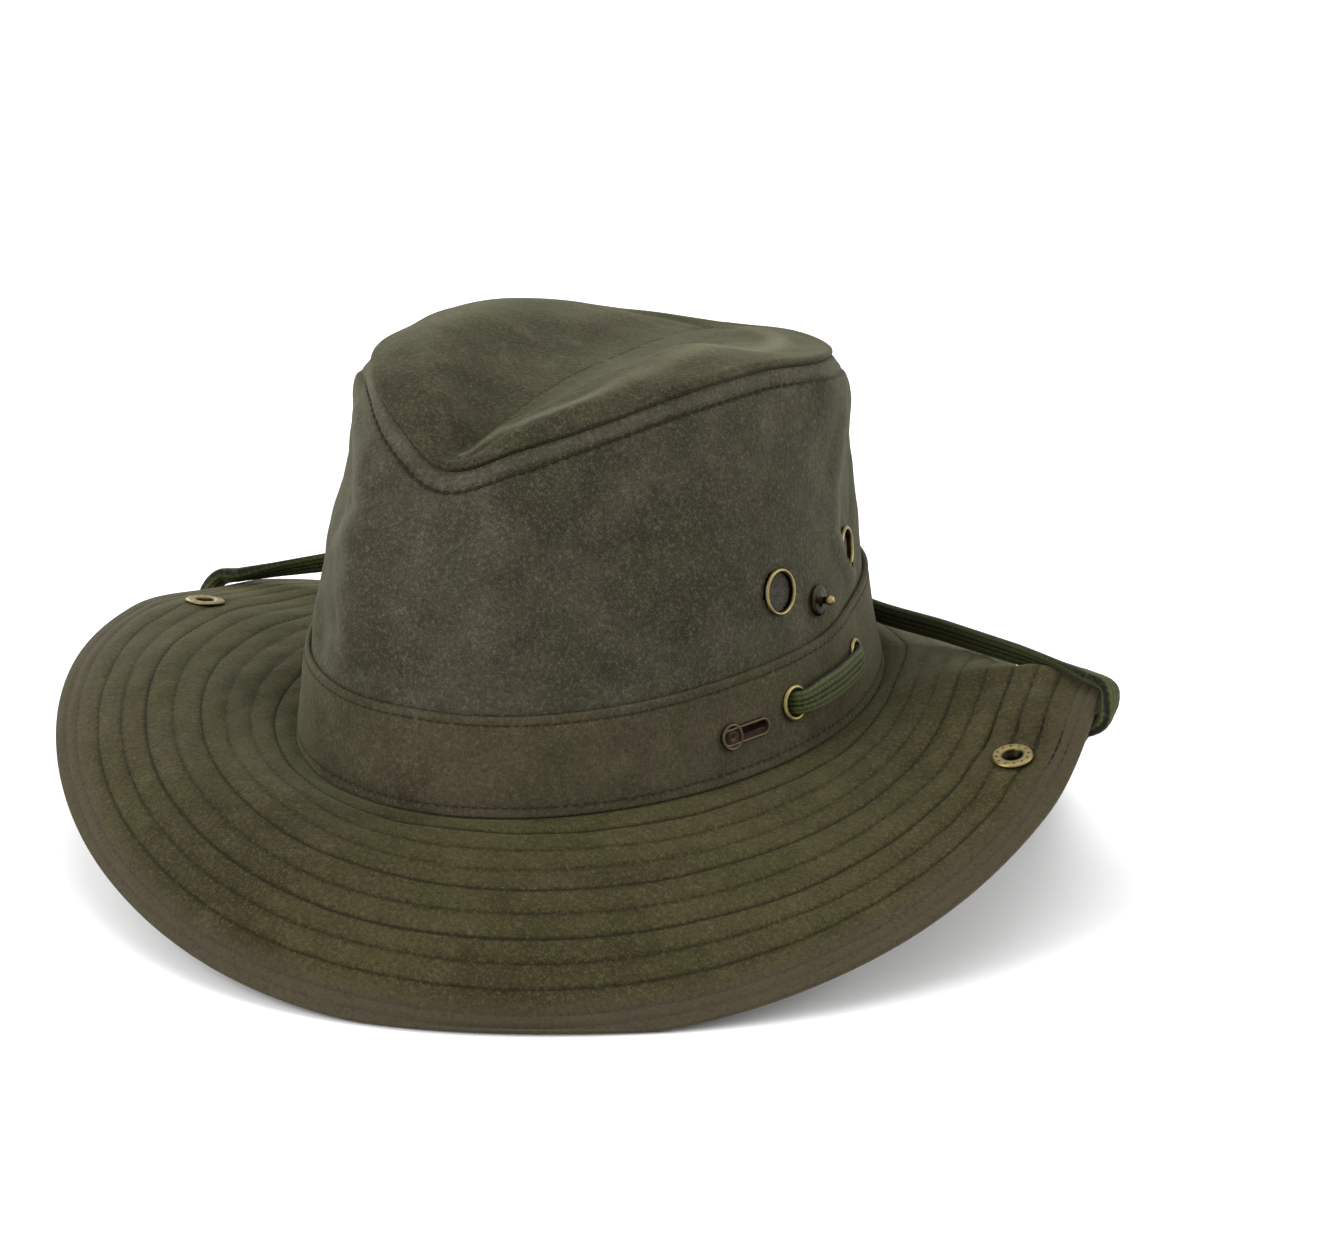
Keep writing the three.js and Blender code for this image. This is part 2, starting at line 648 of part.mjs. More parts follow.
// The stops of one side, from the back of the crown's inside, out and in through the eyelets, down
// to the brim and out under it. An offset goes out, along the hat and up from the frame named
// first, and a facing is a direction in that frame.
const CORD_STOPS = [
  { on: onBand, angle: 172, offset: [cordInside, 0, 0], facing: [1, 0, 0] },
  { on: onBand, angle: 160, offset: [cordInside, 0, 0], facing: [1, 0, 0] },
  { on: onBand, angle: 148, offset: [cordInside, 0, 0], facing: [1, 0, 0] },
  { on: onBand, angle: 136, offset: [cordInside, 0, 0], facing: [1, 0, 0] },
  { on: onBand, angle: 124, offset: [cordInside, 0, 0], facing: [1, 0, 0] },
  { on: onBand, angle: 112, offset: [cordInside, 0, 0], facing: [1, 0, 0] },
  { on: onBand, angle: back, offset: [cordInside, bend, 0], facing: [1, 0, 0] },
  { on: onBand, angle: back, offset: [cordInside + slant, slant, 0], facing: [0.7, 0.7, 0] },
  { on: onBand, angle: back, offset: [cordInside + bend, 0, 0], facing: [0, 1, 0] },
  { on: onBand, angle: back, offset: [cordOnMetal - bend, 0, 0], facing: [0, 1, 0] },
  { on: onBand, angle: back, offset: [cordOnMetal - slant, -slant, 0], facing: [0.7, 0.7, 0] },
  { on: onBand, angle: back, offset: [cordOnMetal, -bend, 0], facing: [1, 0, 0] },
  { on: onBand, angle: (front + back) / 2, offset: [cordOnMetal, 0, 0], facing: [1, 0, 0] },
  { on: onBand, angle: front, offset: [cordOnMetal, bend, 0], facing: [1, 0, 0] },
  { on: onBand, angle: front, offset: [cordOnMetal - slant, slant, 0], facing: [0.7, -0.7, 0] },
  { on: onBand, angle: front, offset: [cordOnMetal - bend, 0, 0], facing: [0, -1, 0] },
  { on: onBand, angle: front, offset: [cordInside + bend, 0, 0], facing: [0, -1, 0] },
  { on: onBand, angle: front, offset: [cordInside + slant, slant, 0], facing: [-0.7, -0.7, 0] },
  { on: onBand, angle: front, offset: [cordInside, bend, 0], facing: [-1, 0, 0] },
  { on: onBand, angle: front, offset: [cordInside, 11, -2], facing: [-1, 0, 0] },
  { on: onFoot, angle: front, offset: [cordInside - 2, 18, 7], facing: [-1, 0, 0] },
  { on: onFoot, angle: front, offset: [cordInside - 2, 22, -1], facing: [-1, 0, 0] },
  { on: onFoot, angle: front, offset: [cordInside - 1, 24, -6], facing: [-0.8, 0, -0.6] },
  { on: onFoot, angle: front, offset: [cordInside + 4, 25, -8], facing: [0, 0, -1] },
  { on: onBrim(0.2), angle: 94, offset: [0, 0, cordUnder - 1], facing: [0, 0, -1] },
  { on: onBrim(0.6), angle: 95.5, offset: [0, 0, cordUnder], facing: [0, 0, -1] },
];
// The stops at the brim's edge, with their angle counted from the wrap's
const CORD_WRAP = [
  { on: onBrim(0.93), angle: -3, offset: [0, 0, cordUnder - CORD_SLACK], facing: [0, 0, -1] },
  { on: onBrim(1), angle: -2, offset: [CORD_TURN / 2, 0, cordUnder], facing: [0.5, 0, -0.9] },
  { on: onBrim(1), angle: -0.8, offset: [4, 0, -BRIM_THICKNESS / 2], facing: [1, 0, 0] },
  { on: onBrim(1), angle: 0.6, offset: [3, 0, 2.2], facing: [0.7, 0.2, 0.7] },
  { on: onBrim(1), angle: 1.6, offset: [-3, 0, 3.2], facing: [0.2, 0.3, 0.9] },
];
// Behind the crown the braid stands on edge and rises from the left to the right
const CORD_BEHIND = [
  { angle: 150, up: 4.5 },
  { angle: 165, up: 8 },
  { angle: 180, up: 12 },
  { angle: -165, up: 16 },
  { angle: -150, up: 20 },
];

const wrapStops = (sign, wrap) =>
  CORD_WRAP.map((row) => cordStop(sign, { ...row, angle: wrap + row.angle }));

function cordStop(sign, { on, angle, offset, facing }) {
  const place = on(sign * angle);
  const local = ([out, along, up]) => new THREE.Vector3(sign * along, up, out);
  const point = local(offset).applyMatrix4(place);
  return { point, facing: local(facing).transformDirection(place) };
}

// Stops on the straight line from the wrap to behind the crown. The braid twists near the wrap.
const CORD_TWIST = [
  { share: 0.12, turned: 0.45 },
  { share: 0.3, turned: 0.85 },
  { share: 0.6, turned: 1 },
];

function straight(from, to) {
  return CORD_TWIST.map(({ share, turned: twist }) => ({
    point: from.point.clone().lerp(to.point, share),
    facing: from.facing.clone().lerp(to.facing, twist).normalize(),
  }));
}

const sideStops = (sign, wrap) =>
  CORD_STOPS.map((row) => cordStop(sign, row)).concat(wrapStops(sign, wrap));
const leftStops = sideStops(1, WRAP_ANGLE_LEFT);
const rightStops = sideStops(-1, WRAP_ANGLE_RIGHT).reverse();
const behindStops = CORD_BEHIND.map(({ angle, up }) =>
  cordStop(1, { on: onFoot, angle, offset: [cordOnCloth, 0, up], facing: [1, 0, 0] }),
);
const seamStop = (sign) => {
  const row = { on: onBand, angle: 180, offset: [cordInside, 0, 0], facing: [1, 0, 0] };
  const stop = cordStop(sign, row);
  stop.point.x += (sign * GAP) / 2;
  return stop;
};
const stops = [
  seamStop(1),
  ...leftStops,
  ...straight(leftStops.at(-1), behindStops[0]),
  ...behindStops,
  ...straight(rightStops[0], behindStops.at(-1)).reverse(),
  ...rightStops,
  seamStop(-1),
];
const cordSection = new THREE.Shape();
cordSection.absellipse(0, 0, CORD_THICKNESS / 2, CORD_WIDTH / 2, 0, 2 * Math.PI);
const chinCord = new THREE.ExtrudeGeometry(cordSection, {
  steps: stops.length - 1,
  extrudePath: new BraidPath(stops),
  curveSegments: CORD_SIDES / 2,
});

add("crown_wall", drill(wall, wallHoles), CLOTH_COLOR, 0.85, 0);
add("crown_tip", tip, CLOTH_COLOR, 0.85, 0);
add("hat_band", drill(band, bandHoles), CLOTH_COLOR, 0.85, 0);
add("brim", drill(brim, brimHoles), BRIM_COLOR, 0.85, 0);
for (const [name, geometry] of metalParts) {
  add(name, geometry, BRASS_COLOR, 0.4, 0.9);
}
add("band_badge", badgeShape.applyMatrix4(badgePlace), BRONZE_COLOR, 0.5, 0.9);
add("chin_cord", chinCord, CORD_COLOR, 0.8, 0);

export default object;
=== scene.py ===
# A soft bush hat of waxed cotton, standing on the front and the back of its brim.
# The brim is quilted, the trim is brass and the chin cord is a flat braid.
import math

import bmesh
import bpy
import numpy as np
from mathutils import Matrix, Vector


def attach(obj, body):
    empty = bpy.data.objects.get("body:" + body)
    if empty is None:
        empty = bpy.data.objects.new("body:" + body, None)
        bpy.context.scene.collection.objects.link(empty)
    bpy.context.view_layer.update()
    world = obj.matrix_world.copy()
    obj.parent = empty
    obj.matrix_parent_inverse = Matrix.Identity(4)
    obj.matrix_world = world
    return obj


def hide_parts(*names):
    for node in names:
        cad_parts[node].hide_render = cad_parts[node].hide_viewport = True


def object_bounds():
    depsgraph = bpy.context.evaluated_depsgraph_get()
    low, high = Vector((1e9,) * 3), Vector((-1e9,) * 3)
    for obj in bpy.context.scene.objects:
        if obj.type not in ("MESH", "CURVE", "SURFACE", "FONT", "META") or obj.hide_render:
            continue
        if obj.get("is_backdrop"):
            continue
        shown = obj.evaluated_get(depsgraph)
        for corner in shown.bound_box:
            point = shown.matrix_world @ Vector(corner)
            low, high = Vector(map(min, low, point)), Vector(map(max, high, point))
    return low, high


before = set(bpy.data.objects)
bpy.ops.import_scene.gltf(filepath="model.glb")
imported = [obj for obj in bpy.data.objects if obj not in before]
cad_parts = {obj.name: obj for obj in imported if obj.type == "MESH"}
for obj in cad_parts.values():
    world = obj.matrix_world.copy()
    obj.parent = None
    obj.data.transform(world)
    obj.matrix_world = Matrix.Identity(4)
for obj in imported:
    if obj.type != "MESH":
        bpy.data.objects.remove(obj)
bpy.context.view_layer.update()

# How the hat stands: on the front and the back of its brim, which dip, while its sides turn up.
# Sizes are millimetres in the hat's own frame, whose floor is the plane where the band meets the
# brim. An angle is in degrees from the front, positive to the wearer's left. The hat leans, so its
# own frame is turned, and then lifted until the brim's edge presses on the floor.
HEAD_HALF_WIDTH = 82
HEAD_HALF_LENGTH = 106
BRIM_WIDTH = 76
BRIM_THICKNESS = 2.6
BRIM_SETTLE = 2.9
LEAN = Matrix.Rotation(math.radians(1.5), 3, "X") @ Matrix.Rotation(math.radians(-2), 3, "Y")
LEAN = np.array(LEAN)
UP = np.array([0, 0, 1.0])
# Downward slope of the brim: angle, left side in and out, right side in and out
BRIM_SECTIONS = [
    (0, -1, 62, -1, 62),
    (30, 11, 61, -26, 60),
    (60, 17, 30, -34, 24),
    (85, 5, 4, -20, 5),
    (101, -22, 0, -8, 6),
    (108, -38, 52, -4, 7),
    (119, -37, 82, 4, 13),
    (135, -8, 82, 8, 37),
    (150, 12, 70, 14, 57),
    (180, 20, 64, 20, 64),
]


def around(rows, left, right):
    """A smooth closed function of the angle through one column for each side."""
    once = [(-row[0], row[right]) for row in rows[:0:-1]] + [(row[0], row[left]) for row in rows[:-1]]
    knots = np.array([(a + turn, v) for turn in (-360, 0, 360) for a, v in once], float)
    at, value = knots.T
    slope = np.gradient(value)
    slope[1:-1] = (value[2:] - value[:-2]) / (at[2:] - at[:-2])

    def curve(angle):
        here = (np.asarray(angle, float) + 180) % 360 - 180
        i = np.searchsorted(at, here, side="right") - 1
        step = at[i + 1] - at[i]
        t = (here - at[i]) / step
        fade = (2 * t - 3) * t * t + 1
        lead = ((t - 2) * t + 1) * t * step * slope[i]
        trail = (t - 1) * t * t * step * slope[i + 1]
        return fade * value[i] + (1 - fade) * value[i + 1] + lead + trail

    return curve


inner_slope = around(BRIM_SECTIONS, 1, 3)
outer_slope = around(BRIM_SECTIONS, 2, 4)


def oval(angle, share, height):
    turn = np.radians(angle)
    x = HEAD_HALF_WIDTH * share * np.sin(turn)
    y = -HEAD_HALF_LENGTH * share * np.cos(turn)
    return np.stack(np.broadcast_arrays(x, y, np.asarray(height, float)), -1)


def unit(vectors):
    return vectors / np.linalg.norm(vectors, axis=-1, keepdims=True)


def outward(angle):
    turn = np.radians(angle)
    x, y = HEAD_HALF_LENGTH * np.sin(turn), -HEAD_HALF_WIDTH * np.cos(turn)
    return unit(np.stack(np.broadcast_arrays(x, y, 0 * x), -1))


def brim_top(angle, share):
    angle, share = np.broadcast_arrays(np.asarray(angle, float), np.asarray(share, float))
    steps = 8
    along, down = np.zeros(angle.shape), np.zeros(angle.shape)
    first, last = inner_slope(angle), outer_slope(angle)
    for i in range(steps):
        here = share * (i + 0.5) / steps
        slope = np.radians(first + (last - first) * here)
        along += BRIM_WIDTH * share / steps * np.cos(slope)
        down += BRIM_WIDTH * share / steps * np.sin(slope)
    return oval(angle, 1, 0 * angle) + outward(angle) * along[..., None] - down[..., None] * UP


def normal_of(face, angle, share, away):
    """The unit normal of a face, on the side that the vector away looks to."""
    near, far = np.maximum(0, np.asarray(share) - 0.02), np.minimum(1, np.asarray(share) + 0.02)
    along = face(angle + 2, share) - face(angle - 2, share)
    normal = unit(np.cross(along, face(angle, far) - face(angle, near)))
    return normal * np.sign(np.sum(normal * away, -1, keepdims=True))


# The frame's brim has fifty sections, and the box of its edge says where the hat sits
frame_angles = np.arange(50) * 7.2 - 180
foot = np.concatenate([
    brim_top(frame_angles, 1),
    brim_top(frame_angles, 1) - BRIM_THICKNESS * normal_of(brim_top, frame_angles, 1, UP),
]) @ LEAN.T
SEAT = -(foot.min(0) + foot.max(0)) / 2
SEAT[2] = -foot[:, 2].min() - BRIM_SETTLE


def rest(points):
    return points @ LEAN.T + SEAT


# Camera: left of the front and a little above, with the framing of the photograph
AZIMUTH, ELEVATION, ROLL = (math.radians(x) for x in (30, 20.44, 2.03))
CAMERA_DISTANCE = 1800
FOCAL_LENGTH_PX = 5976
FRAME_PX = (1319, 1236)
AIM_PX = (593.9, 693.4)
SENSOR = 36
back = np.array([
    math.sin(AZIMUTH) * math.cos(ELEVATION),
    -math.cos(AZIMUTH) * math.cos(ELEVATION),
    math.sin(ELEVATION),
])
level = np.array([math.cos(AZIMUTH), math.sin(AZIMUTH), 0])
rise = np.cross(back, level)
right = math.cos(ROLL) * level - math.sin(ROLL) * rise
upright = math.sin(ROLL) * level + math.cos(ROLL) * rise
camera_axes = LEAN @ np.stack([right, upright, back], 1)
stand = Matrix.Translation((SEAT + camera_axes[:, 2] * CAMERA_DISTANCE) * 0.001)
camera = bpy.data.objects.new("camera", bpy.data.cameras.new("camera"))
bpy.context.collection.objects.link(camera)
bpy.context.scene.camera = camera
camera.matrix_world = stand @ Matrix(camera_axes).to_4x4()
camera.data.sensor_fit = "HORIZONTAL"
camera.data.sensor_width = SENSOR
camera.data.lens = SENSOR * FOCAL_LENGTH_PX / FRAME_PX[0]
camera.data.shift_x = (FRAME_PX[0] / 2 - AIM_PX[0]) / FRAME_PX[0]
camera.data.shift_y = (AIM_PX[1] - FRAME_PX[1] / 2) / FRAME_PX[0]

# Chin cord: a flat braid of green polyester, one loop. It lies inside the back of the crown,
# goes out and in through the eyelets of each side, runs down and out under the brim, wraps over
# the brim's edge and crosses behind the crown. The cloth faces that it lies along come first.
CROWN_HEIGHT = 111
BAND_HEIGHT = 29
CROWN_CLOTH = 1.6
BAND_CLOTH = 1.4
GAP = 0.3
# Angle, then the wall's outline low down, high up and at the seam as shares of the oval, and the
# seam's height as a share of the crown's, left and right
CROWN_SECTIONS = [
    (0, 0.955, 0.88, 0.75, 0.85, 0.85),
    (20, 0.965, 0.885, 0.71, 0.905, 0.92),
    (42, 0.935, 0.8, 0.695, 0.955, 0.985),
    (65, 0.922, 0.82, 0.7, 0.99, 0.985),
    (90, 0.93, 0.835, 0.74, 0.98, 0.945),
    (110, 0.91, 0.87, 0.825, 0.93, 0.92),
    (135, 0.95, 0.905, 0.84, 0.865, 0.875),
    (155, 0.95, 0.88, 0.845, 0.83, 0.83),
    (180, 0.95, 0.87, 0.84, 0.805, 0.805),
]
low_out, high_out, seam_out = (around(CROWN_SECTIONS, i, i) for i in (1, 2, 3))
seam_up = around(CROWN_SECTIONS, 4, 5)


def wall_face(angle, share):
    angle, share = np.broadcast_arrays(np.asarray(angle, float), np.asarray(share, float))
    levels = [0, 0.35, 0.75, 1]
    outs = [1 + 0 * angle, low_out(angle), high_out(angle), seam_out(angle)]
    out = 0
    for i, level in enumerate(levels):
        others = [other for j, other in enumerate(levels) if j != i]
        out = out + outs[i] * np.prod([(share - other) / (level - other) for other in others], axis=0)
    point = oval(angle, out, GAP + share * seam_up(angle) * CROWN_HEIGHT)
    return point - outward(angle) * ((BAND_CLOTH + GAP) * (1 - share))[..., None]


def band_top_level(angle):
    return BAND_HEIGHT / (seam_up(angle) * CROWN_HEIGHT)


def band_face(angle, share):
    return wall_face(angle, share * band_top_level(angle)) + (BAND_CLOTH + GAP) * outward(angle)


# Places on the resting hat: a matrix whose columns are the local axes, and a point
def on_face(face, angle, share):
    normal = normal_of(face, angle, share, outward(angle)) @ LEAN.T
    side = unit(np.cross(LEAN @ UP, normal))
    return np.stack([side, np.cross(normal, side), normal], 1), rest(face(angle, share))


def on_brim(angle, share):
    up = normal_of(brim_top, angle, share, UP)
    out = unit(np.cross(np.cross(UP, outward(angle)), up))
    axes = np.stack([np.cross(up, out), up, out], 1)
    return LEAN @ axes, rest(brim_top(angle, share))


def on_foot(angle):
    out = outward(angle)
    axes = np.stack([np.cross(UP, out), UP, out], 1)
    return LEAN @ axes, rest(oval(angle, 1, 0))


CORD_WIDTH = 7.2
CORD_THICKNESS = 2.4
CORD_SLACK = 0.6
TURN = 3
FLANGE_LIFT = 0.6
FLANGE_THICKNESS = 0.9
FLANGE_TOP = FLANGE_LIFT + FLANGE_THICKNESS
WALL_INSET = BAND_CLOTH + GAP + CROWN_CLOTH
EYELET_UP = 15.5
EYELET_SHARE = EYELET_UP / BAND_HEIGHT
EYELET_ANGLES = {"front": 79, "back": 103}
WRAP_LEFT, WRAP_RIGHT = 99, 102.5
on_metal = FLANGE_TOP + GAP + CORD_THICKNESS / 2
on_cloth = CORD_SLACK + CORD_THICKNESS / 2
inside = -(WALL_INSET + on_metal)
under = -(BRIM_THICKNESS + on_cloth + CORD_SLACK)
slant = 0.3 * TURN
FRONT, BACK = EYELET_ANGLES["front"], EYELET_ANGLES["back"]


def on_band(angle):
    return on_face(band_face, angle, EYELET_SHARE)


def brim_at(share):
    return lambda angle: on_brim(angle, share)


# Stops of one side: frame, angle, then offset and facing, each out, along and up in that frame
inside_stops = [(on_band, angle, (inside, 0, 0), (1, 0, 0)) for angle in (172, 160, 148, 136, 124, 112)]
cord_stops = inside_stops + [
    (on_band, BACK, (inside, TURN, 0), (1, 0, 0)),
    (on_band, BACK, (inside + slant, slant, 0), (0.7, 0.7, 0)),
    (on_band, BACK, (inside + TURN, 0, 0), (0, 1, 0)),
    (on_band, BACK, (on_metal - TURN, 0, 0), (0, 1, 0)),
    (on_band, BACK, (on_metal - slant, -slant, 0), (0.7, 0.7, 0)),
    (on_band, BACK, (on_metal, -TURN, 0), (1, 0, 0)),
    (on_band, (FRONT + BACK) / 2, (on_metal, 0, 0), (1, 0, 0)),
    (on_band, FRONT, (on_metal, TURN, 0), (1, 0, 0)),
    (on_band, FRONT, (on_metal - slant, slant, 0), (0.7, -0.7, 0)),
    (on_band, FRONT, (on_metal - TURN, 0, 0), (0, -1, 0)),
    (on_band, FRONT, (inside + TURN, 0, 0), (0, -1, 0)),
    (on_band, FRONT, (inside + slant, slant, 0), (-0.7, -0.7, 0)),
    (on_band, FRONT, (inside, TURN, 0), (-1, 0, 0)),
    (on_band, FRONT, (inside, 11, -2), (-1, 0, 0)),
    (on_foot, FRONT, (inside - 2, 18, 7), (-1, 0, 0)),
    (on_foot, FRONT, (inside - 2, 22, -1), (-1, 0, 0)),
    (on_foot, FRONT, (inside - 1, 24, -6), (-0.8, 0, -0.6)),
    (on_foot, FRONT, (inside + 4, 25, -8), (0, 0, -1)),
    (brim_at(0.2), 94, (0, 0, under - 1), (0, 0, -1)),
    (brim_at(0.6), 95.5, (0, 0, under), (0, 0, -1)),
]
# At the brim's edge the angle is counted from the wrap's
cord_wrap = [
    (brim_at(0.93), -3, (0, 0, under - CORD_SLACK), (0, 0, -1)),
    (brim_at(1), -2, (TURN / 2, 0, under), (0.5, 0, -0.9)),
    (brim_at(1), -0.8, (4, 0, -BRIM_THICKNESS / 2), (1, 0, 0)),
    (brim_at(1), 0.6, (3, 0, 2.2), (0.7, 0.2, 0.7)),
    (brim_at(1), 1.6, (-3, 0, 3.2), (0.2, 0.3, 0.9)),
]
# Behind the crown: angle and height
cord_behind = [(150, 4.5), (165, 8), (180, 12), (-165, 16), (-150, 20)]


def stop(sign, place, angle, offset, facing):
    axes, centre = place(sign * angle)
    turned = [np.array([sign * along, up, out]) for out, along, up in (offset, facing)]
    return centre + axes @ turned[0], unit(axes @ turned[1])


def side_stops(sign, wrap):
    wrapped = [(place, wrap + angle, offset, facing) for place, angle, offset, facing in cord_wrap]
    return [stop(sign, *row) for row in cord_stops + wrapped]


def straight(first, last):
    """Stops on the line from the wrap to behind the crown. The braid twists near the wrap."""
    twists = [(0.12, 0.45), (0.3, 0.85), (0.6, 1)]
    return [
        (first[0] + (last[0] - first[0]) * share, unit(first[1] + (last[1] - first[1]) * turned))
        for share, turned in twists
    ]


left_side, right_side = side_stops(1, WRAP_LEFT), side_stops(-1, WRAP_RIGHT)[::-1]
behind = [stop(1, on_foot, angle, (on_cloth, 0, up), (1, 0, 0)) for angle, up in cord_behind]
seam_stop = stop(1, on_band, 180, (inside, 0, 0), (1, 0, 0))
ends = [(seam_stop[0] + np.array([side * GAP / 2, 0, 0]), seam_stop[1]) for side in (1, -1)]
stops = [ends[0], *left_side, *straight(left_side[-1], behind[0]), *behind]
stops += [*straight(right_side[0], behind[-1])[::-1], *right_side, ends[1]]


def through(knots, spans):
    """Centripetal curve through the stops, as the frame's, with spans[i] steps after stop i."""
    padded = np.concatenate([[2 * knots[0] - knots[1]], knots, [2 * knots[-1] - knots[-2]]])
    out = []
    for i, steps in enumerate(spans):
        p = padded[i:i + 4]
        gaps = [max(np.linalg.norm(p[k + 1] - p[k]) ** 0.5, 1e-4) for k in range(3)]
        m1 = (p[1] - p[0]) / gaps[0] - (p[2] - p[0]) / (gaps[0] + gaps[1]) + (p[2] - p[1]) / gaps[1]
        m2 = (p[2] - p[1]) / gaps[1] - (p[3] - p[1]) / (gaps[1] + gaps[2]) + (p[3] - p[2]) / gaps[2]
        m1, m2 = m1 * gaps[1], m2 * gaps[1]
        for t in np.arange(steps) / steps:
            fade = (2 * t - 3) * t * t + 1
            tail = (1 - fade) * p[2] + ((t - 2) * t + 1) * t * m1 + (t - 1) * t * t * m2
            out.append(fade * p[1] + tail)
    out.append(padded[-2])
    return np.array(out)


ROUTE_STEP = 0.55
knots = np.array([point for point, facing in stops])
spans = [max(2, round(np.linalg.norm(b - a) / ROUTE_STEP)) for a, b in zip(knots, knots[1:])]
route = through(knots, spans)
share_of = np.concatenate([[0], np.cumsum(np.repeat([1 / n for n in spans], spans))])
facings = np.array([facing for point, facing in stops])
facing = np.stack([np.interp(share_of, np.arange(len(stops)), facings[:, k]) for k in range(3)], 1)
ahead = unit(np.gradient(route, axis=0))
across = unit(np.cross(ahead, facing))
face_up = np.cross(across, ahead)
travel = np.concatenate([[0], np.cumsum(np.linalg.norm(np.diff(route, axis=0), axis=1))])

# Where the braid lies flat between the eyelets it spreads
SPREAD, SPREAD_REACH = 0.22, 17
spread = np.zeros(len(route))
for sign in (1, -1):
    middle = stop(sign, on_band, (FRONT + BACK) / 2, (on_metal, 0, 0), (1, 0, 0))[0]
    spread += np.exp(-(np.linalg.norm(route - middle, axis=1) / SPREAD_REACH) ** 6)

# Where it bends over the brim's edge it is bunched and nearly round
BUNCH, BUNCH_REACH = 1.1, 19
bunch = np.zeros(len(route))
for bent in (left_side[-3][0], right_side[2][0]):
    bunch += np.exp(-(np.linalg.norm(route - bent, axis=1) / BUNCH_REACH) ** 4)

# Each of the braid's five ribs is a row of slanted strands, leaning to and fro by turns
CORD_RIBS = 5
RIB_HEIGHT = 0.3
STRAND_PITCH = 1.9
CORD_SIDES = 40
turn = np.arange(CORD_SIDES) * 2 * math.pi / CORD_SIDES
wide = np.sign(np.sin(turn)) * np.abs(np.sin(turn)) ** 0.85
thick = np.sign(np.cos(turn)) * np.abs(np.cos(turn)) ** 0.7
rib = (wide + 1) / 2 * CORD_RIBS
rib_round = np.abs(np.sin(math.pi * rib)) ** 0.6
lean_to = np.where(np.floor(rib) % 2 == 0, 1, -1)
strand = np.abs(np.sin(math.pi * (travel[:, None] / STRAND_PITCH + lean_to * (rib % 1)[None, :] * 0.8)))
rib_lift = RIB_HEIGHT * rib_round * (0.55 + 0.45 * strand ** 0.7)
half_thick = (CORD_THICKNESS / 2 - RIB_HEIGHT) * (1 + BUNCH * bunch)[:, None]
half_width = (CORD_WIDTH / 2 - 0.1) * (1 + SPREAD * spread)
profile = across[:, None] * (wide * half_width[:, None])[..., None]
profile = profile + face_up[:, None] * (thick * (half_thick + rib_lift))[..., None]


def grid_faces(rows, count, close=False):
    """Quads between rings of points, each ring closed, and their corners' ring and step."""
    i, j = np.meshgrid(np.arange(rows if close else rows - 1), np.arange(count), indexing="ij")
    i, j = i.ravel(), j.ravel()
    steps = np.stack([j, j + 1, j + 1, j], 1)
    rings = np.stack([i, i, i + 1, i + 1], 1)
    return rings % rows * count + steps % count, rings, steps


cord_points = (route[:, None] + profile).reshape(-1, 3)
cord_faces = grid_faces(len(route), CORD_SIDES)[0].tolist()
cord_faces.append(list(range(CORD_SIDES))[::-1])
cord_faces.append([len(cord_points) - CORD_SIDES + k for k in range(CORD_SIDES)])


class Shade:
    """A shader socket that takes part in arithmetic."""

    def __init__(self, recipe, socket):
        self.recipe = recipe
        self.socket = socket

    def maths(self, operation, *others):
        sockets = dict(enumerate((self, *others)))
        return self.recipe.node("ShaderNodeMath", sockets, operation=operation)

    def __add__(self, other):
        return self.maths("ADD", other)

    def __mul__(self, other):
        return self.maths("MULTIPLY", other)

    def __sub__(self, other):
        return self.maths("SUBTRACT", other)

    def __rsub__(self, other):
        return self * -1 + other

    __radd__ = __add__
    __rmul__ = __mul__

    def sine(self):
        return self.maths("SINE")

    def ramp(self, low, high):
        """0 under low, 1 over high and smooth between."""
        sockets = {0: self, 1: low, 2: high, 3: 0, 4: 1}
        kind = "ShaderNodeMapRange"
        return self.recipe.node(kind, sockets, interpolation_type="SMOOTHSTEP")


class Recipe:
    """A material whose shader is one Principled BSDF."""

    def __init__(self, name, **constants):
        self.material = bpy.data.materials.new(name)
        self.material.use_nodes = True
        self.tree = self.material.node_tree
        self.shader = self.tree.nodes["Principled BSDF"]
        for key, value in constants.items():
            self.shader.inputs[key.replace("_", " ")].default_value = value

    def node(self, kind, sockets=None, output=0, **settings):
        node = self.tree.nodes.new(kind)
        for key, value in settings.items():
            setattr(node, key, value)
        for key, value in (sockets or {}).items():
            self.join(node.inputs[key], value)
        return Shade(self, node.outputs[output])

    def join(self, slot, value):
        if isinstance(value, Shade):
            self.tree.links.new(value.socket, slot)
        else:
            slot.default_value = value

    def feed(self, name, value):
        self.join(self.shader.inputs[name], value)

    def place(self):
        return self.node("ShaderNodeTexCoord", output="Object")

    def noise(self, scale, detail=3, roughness=0.55, where=None):
        sockets = {"Scale": scale, "Detail": detail, "Roughness": roughness}
        sockets["Vector"] = where or self.place()
        return self.node("ShaderNodeTexNoise", sockets)

    def mix(self, share, first, second):
        """Two colours mixed by a share of the second."""
        return self.node("ShaderNodeMix", {0: share, 6: first, 7: second}, 2, data_type="RGBA")

    def bump(self, height, distance, strength=1.0):
        sockets = {"Height": height, "Distance": distance, "Strength": strength}
        self.feed("Normal", self.node("ShaderNodeBump", sockets))


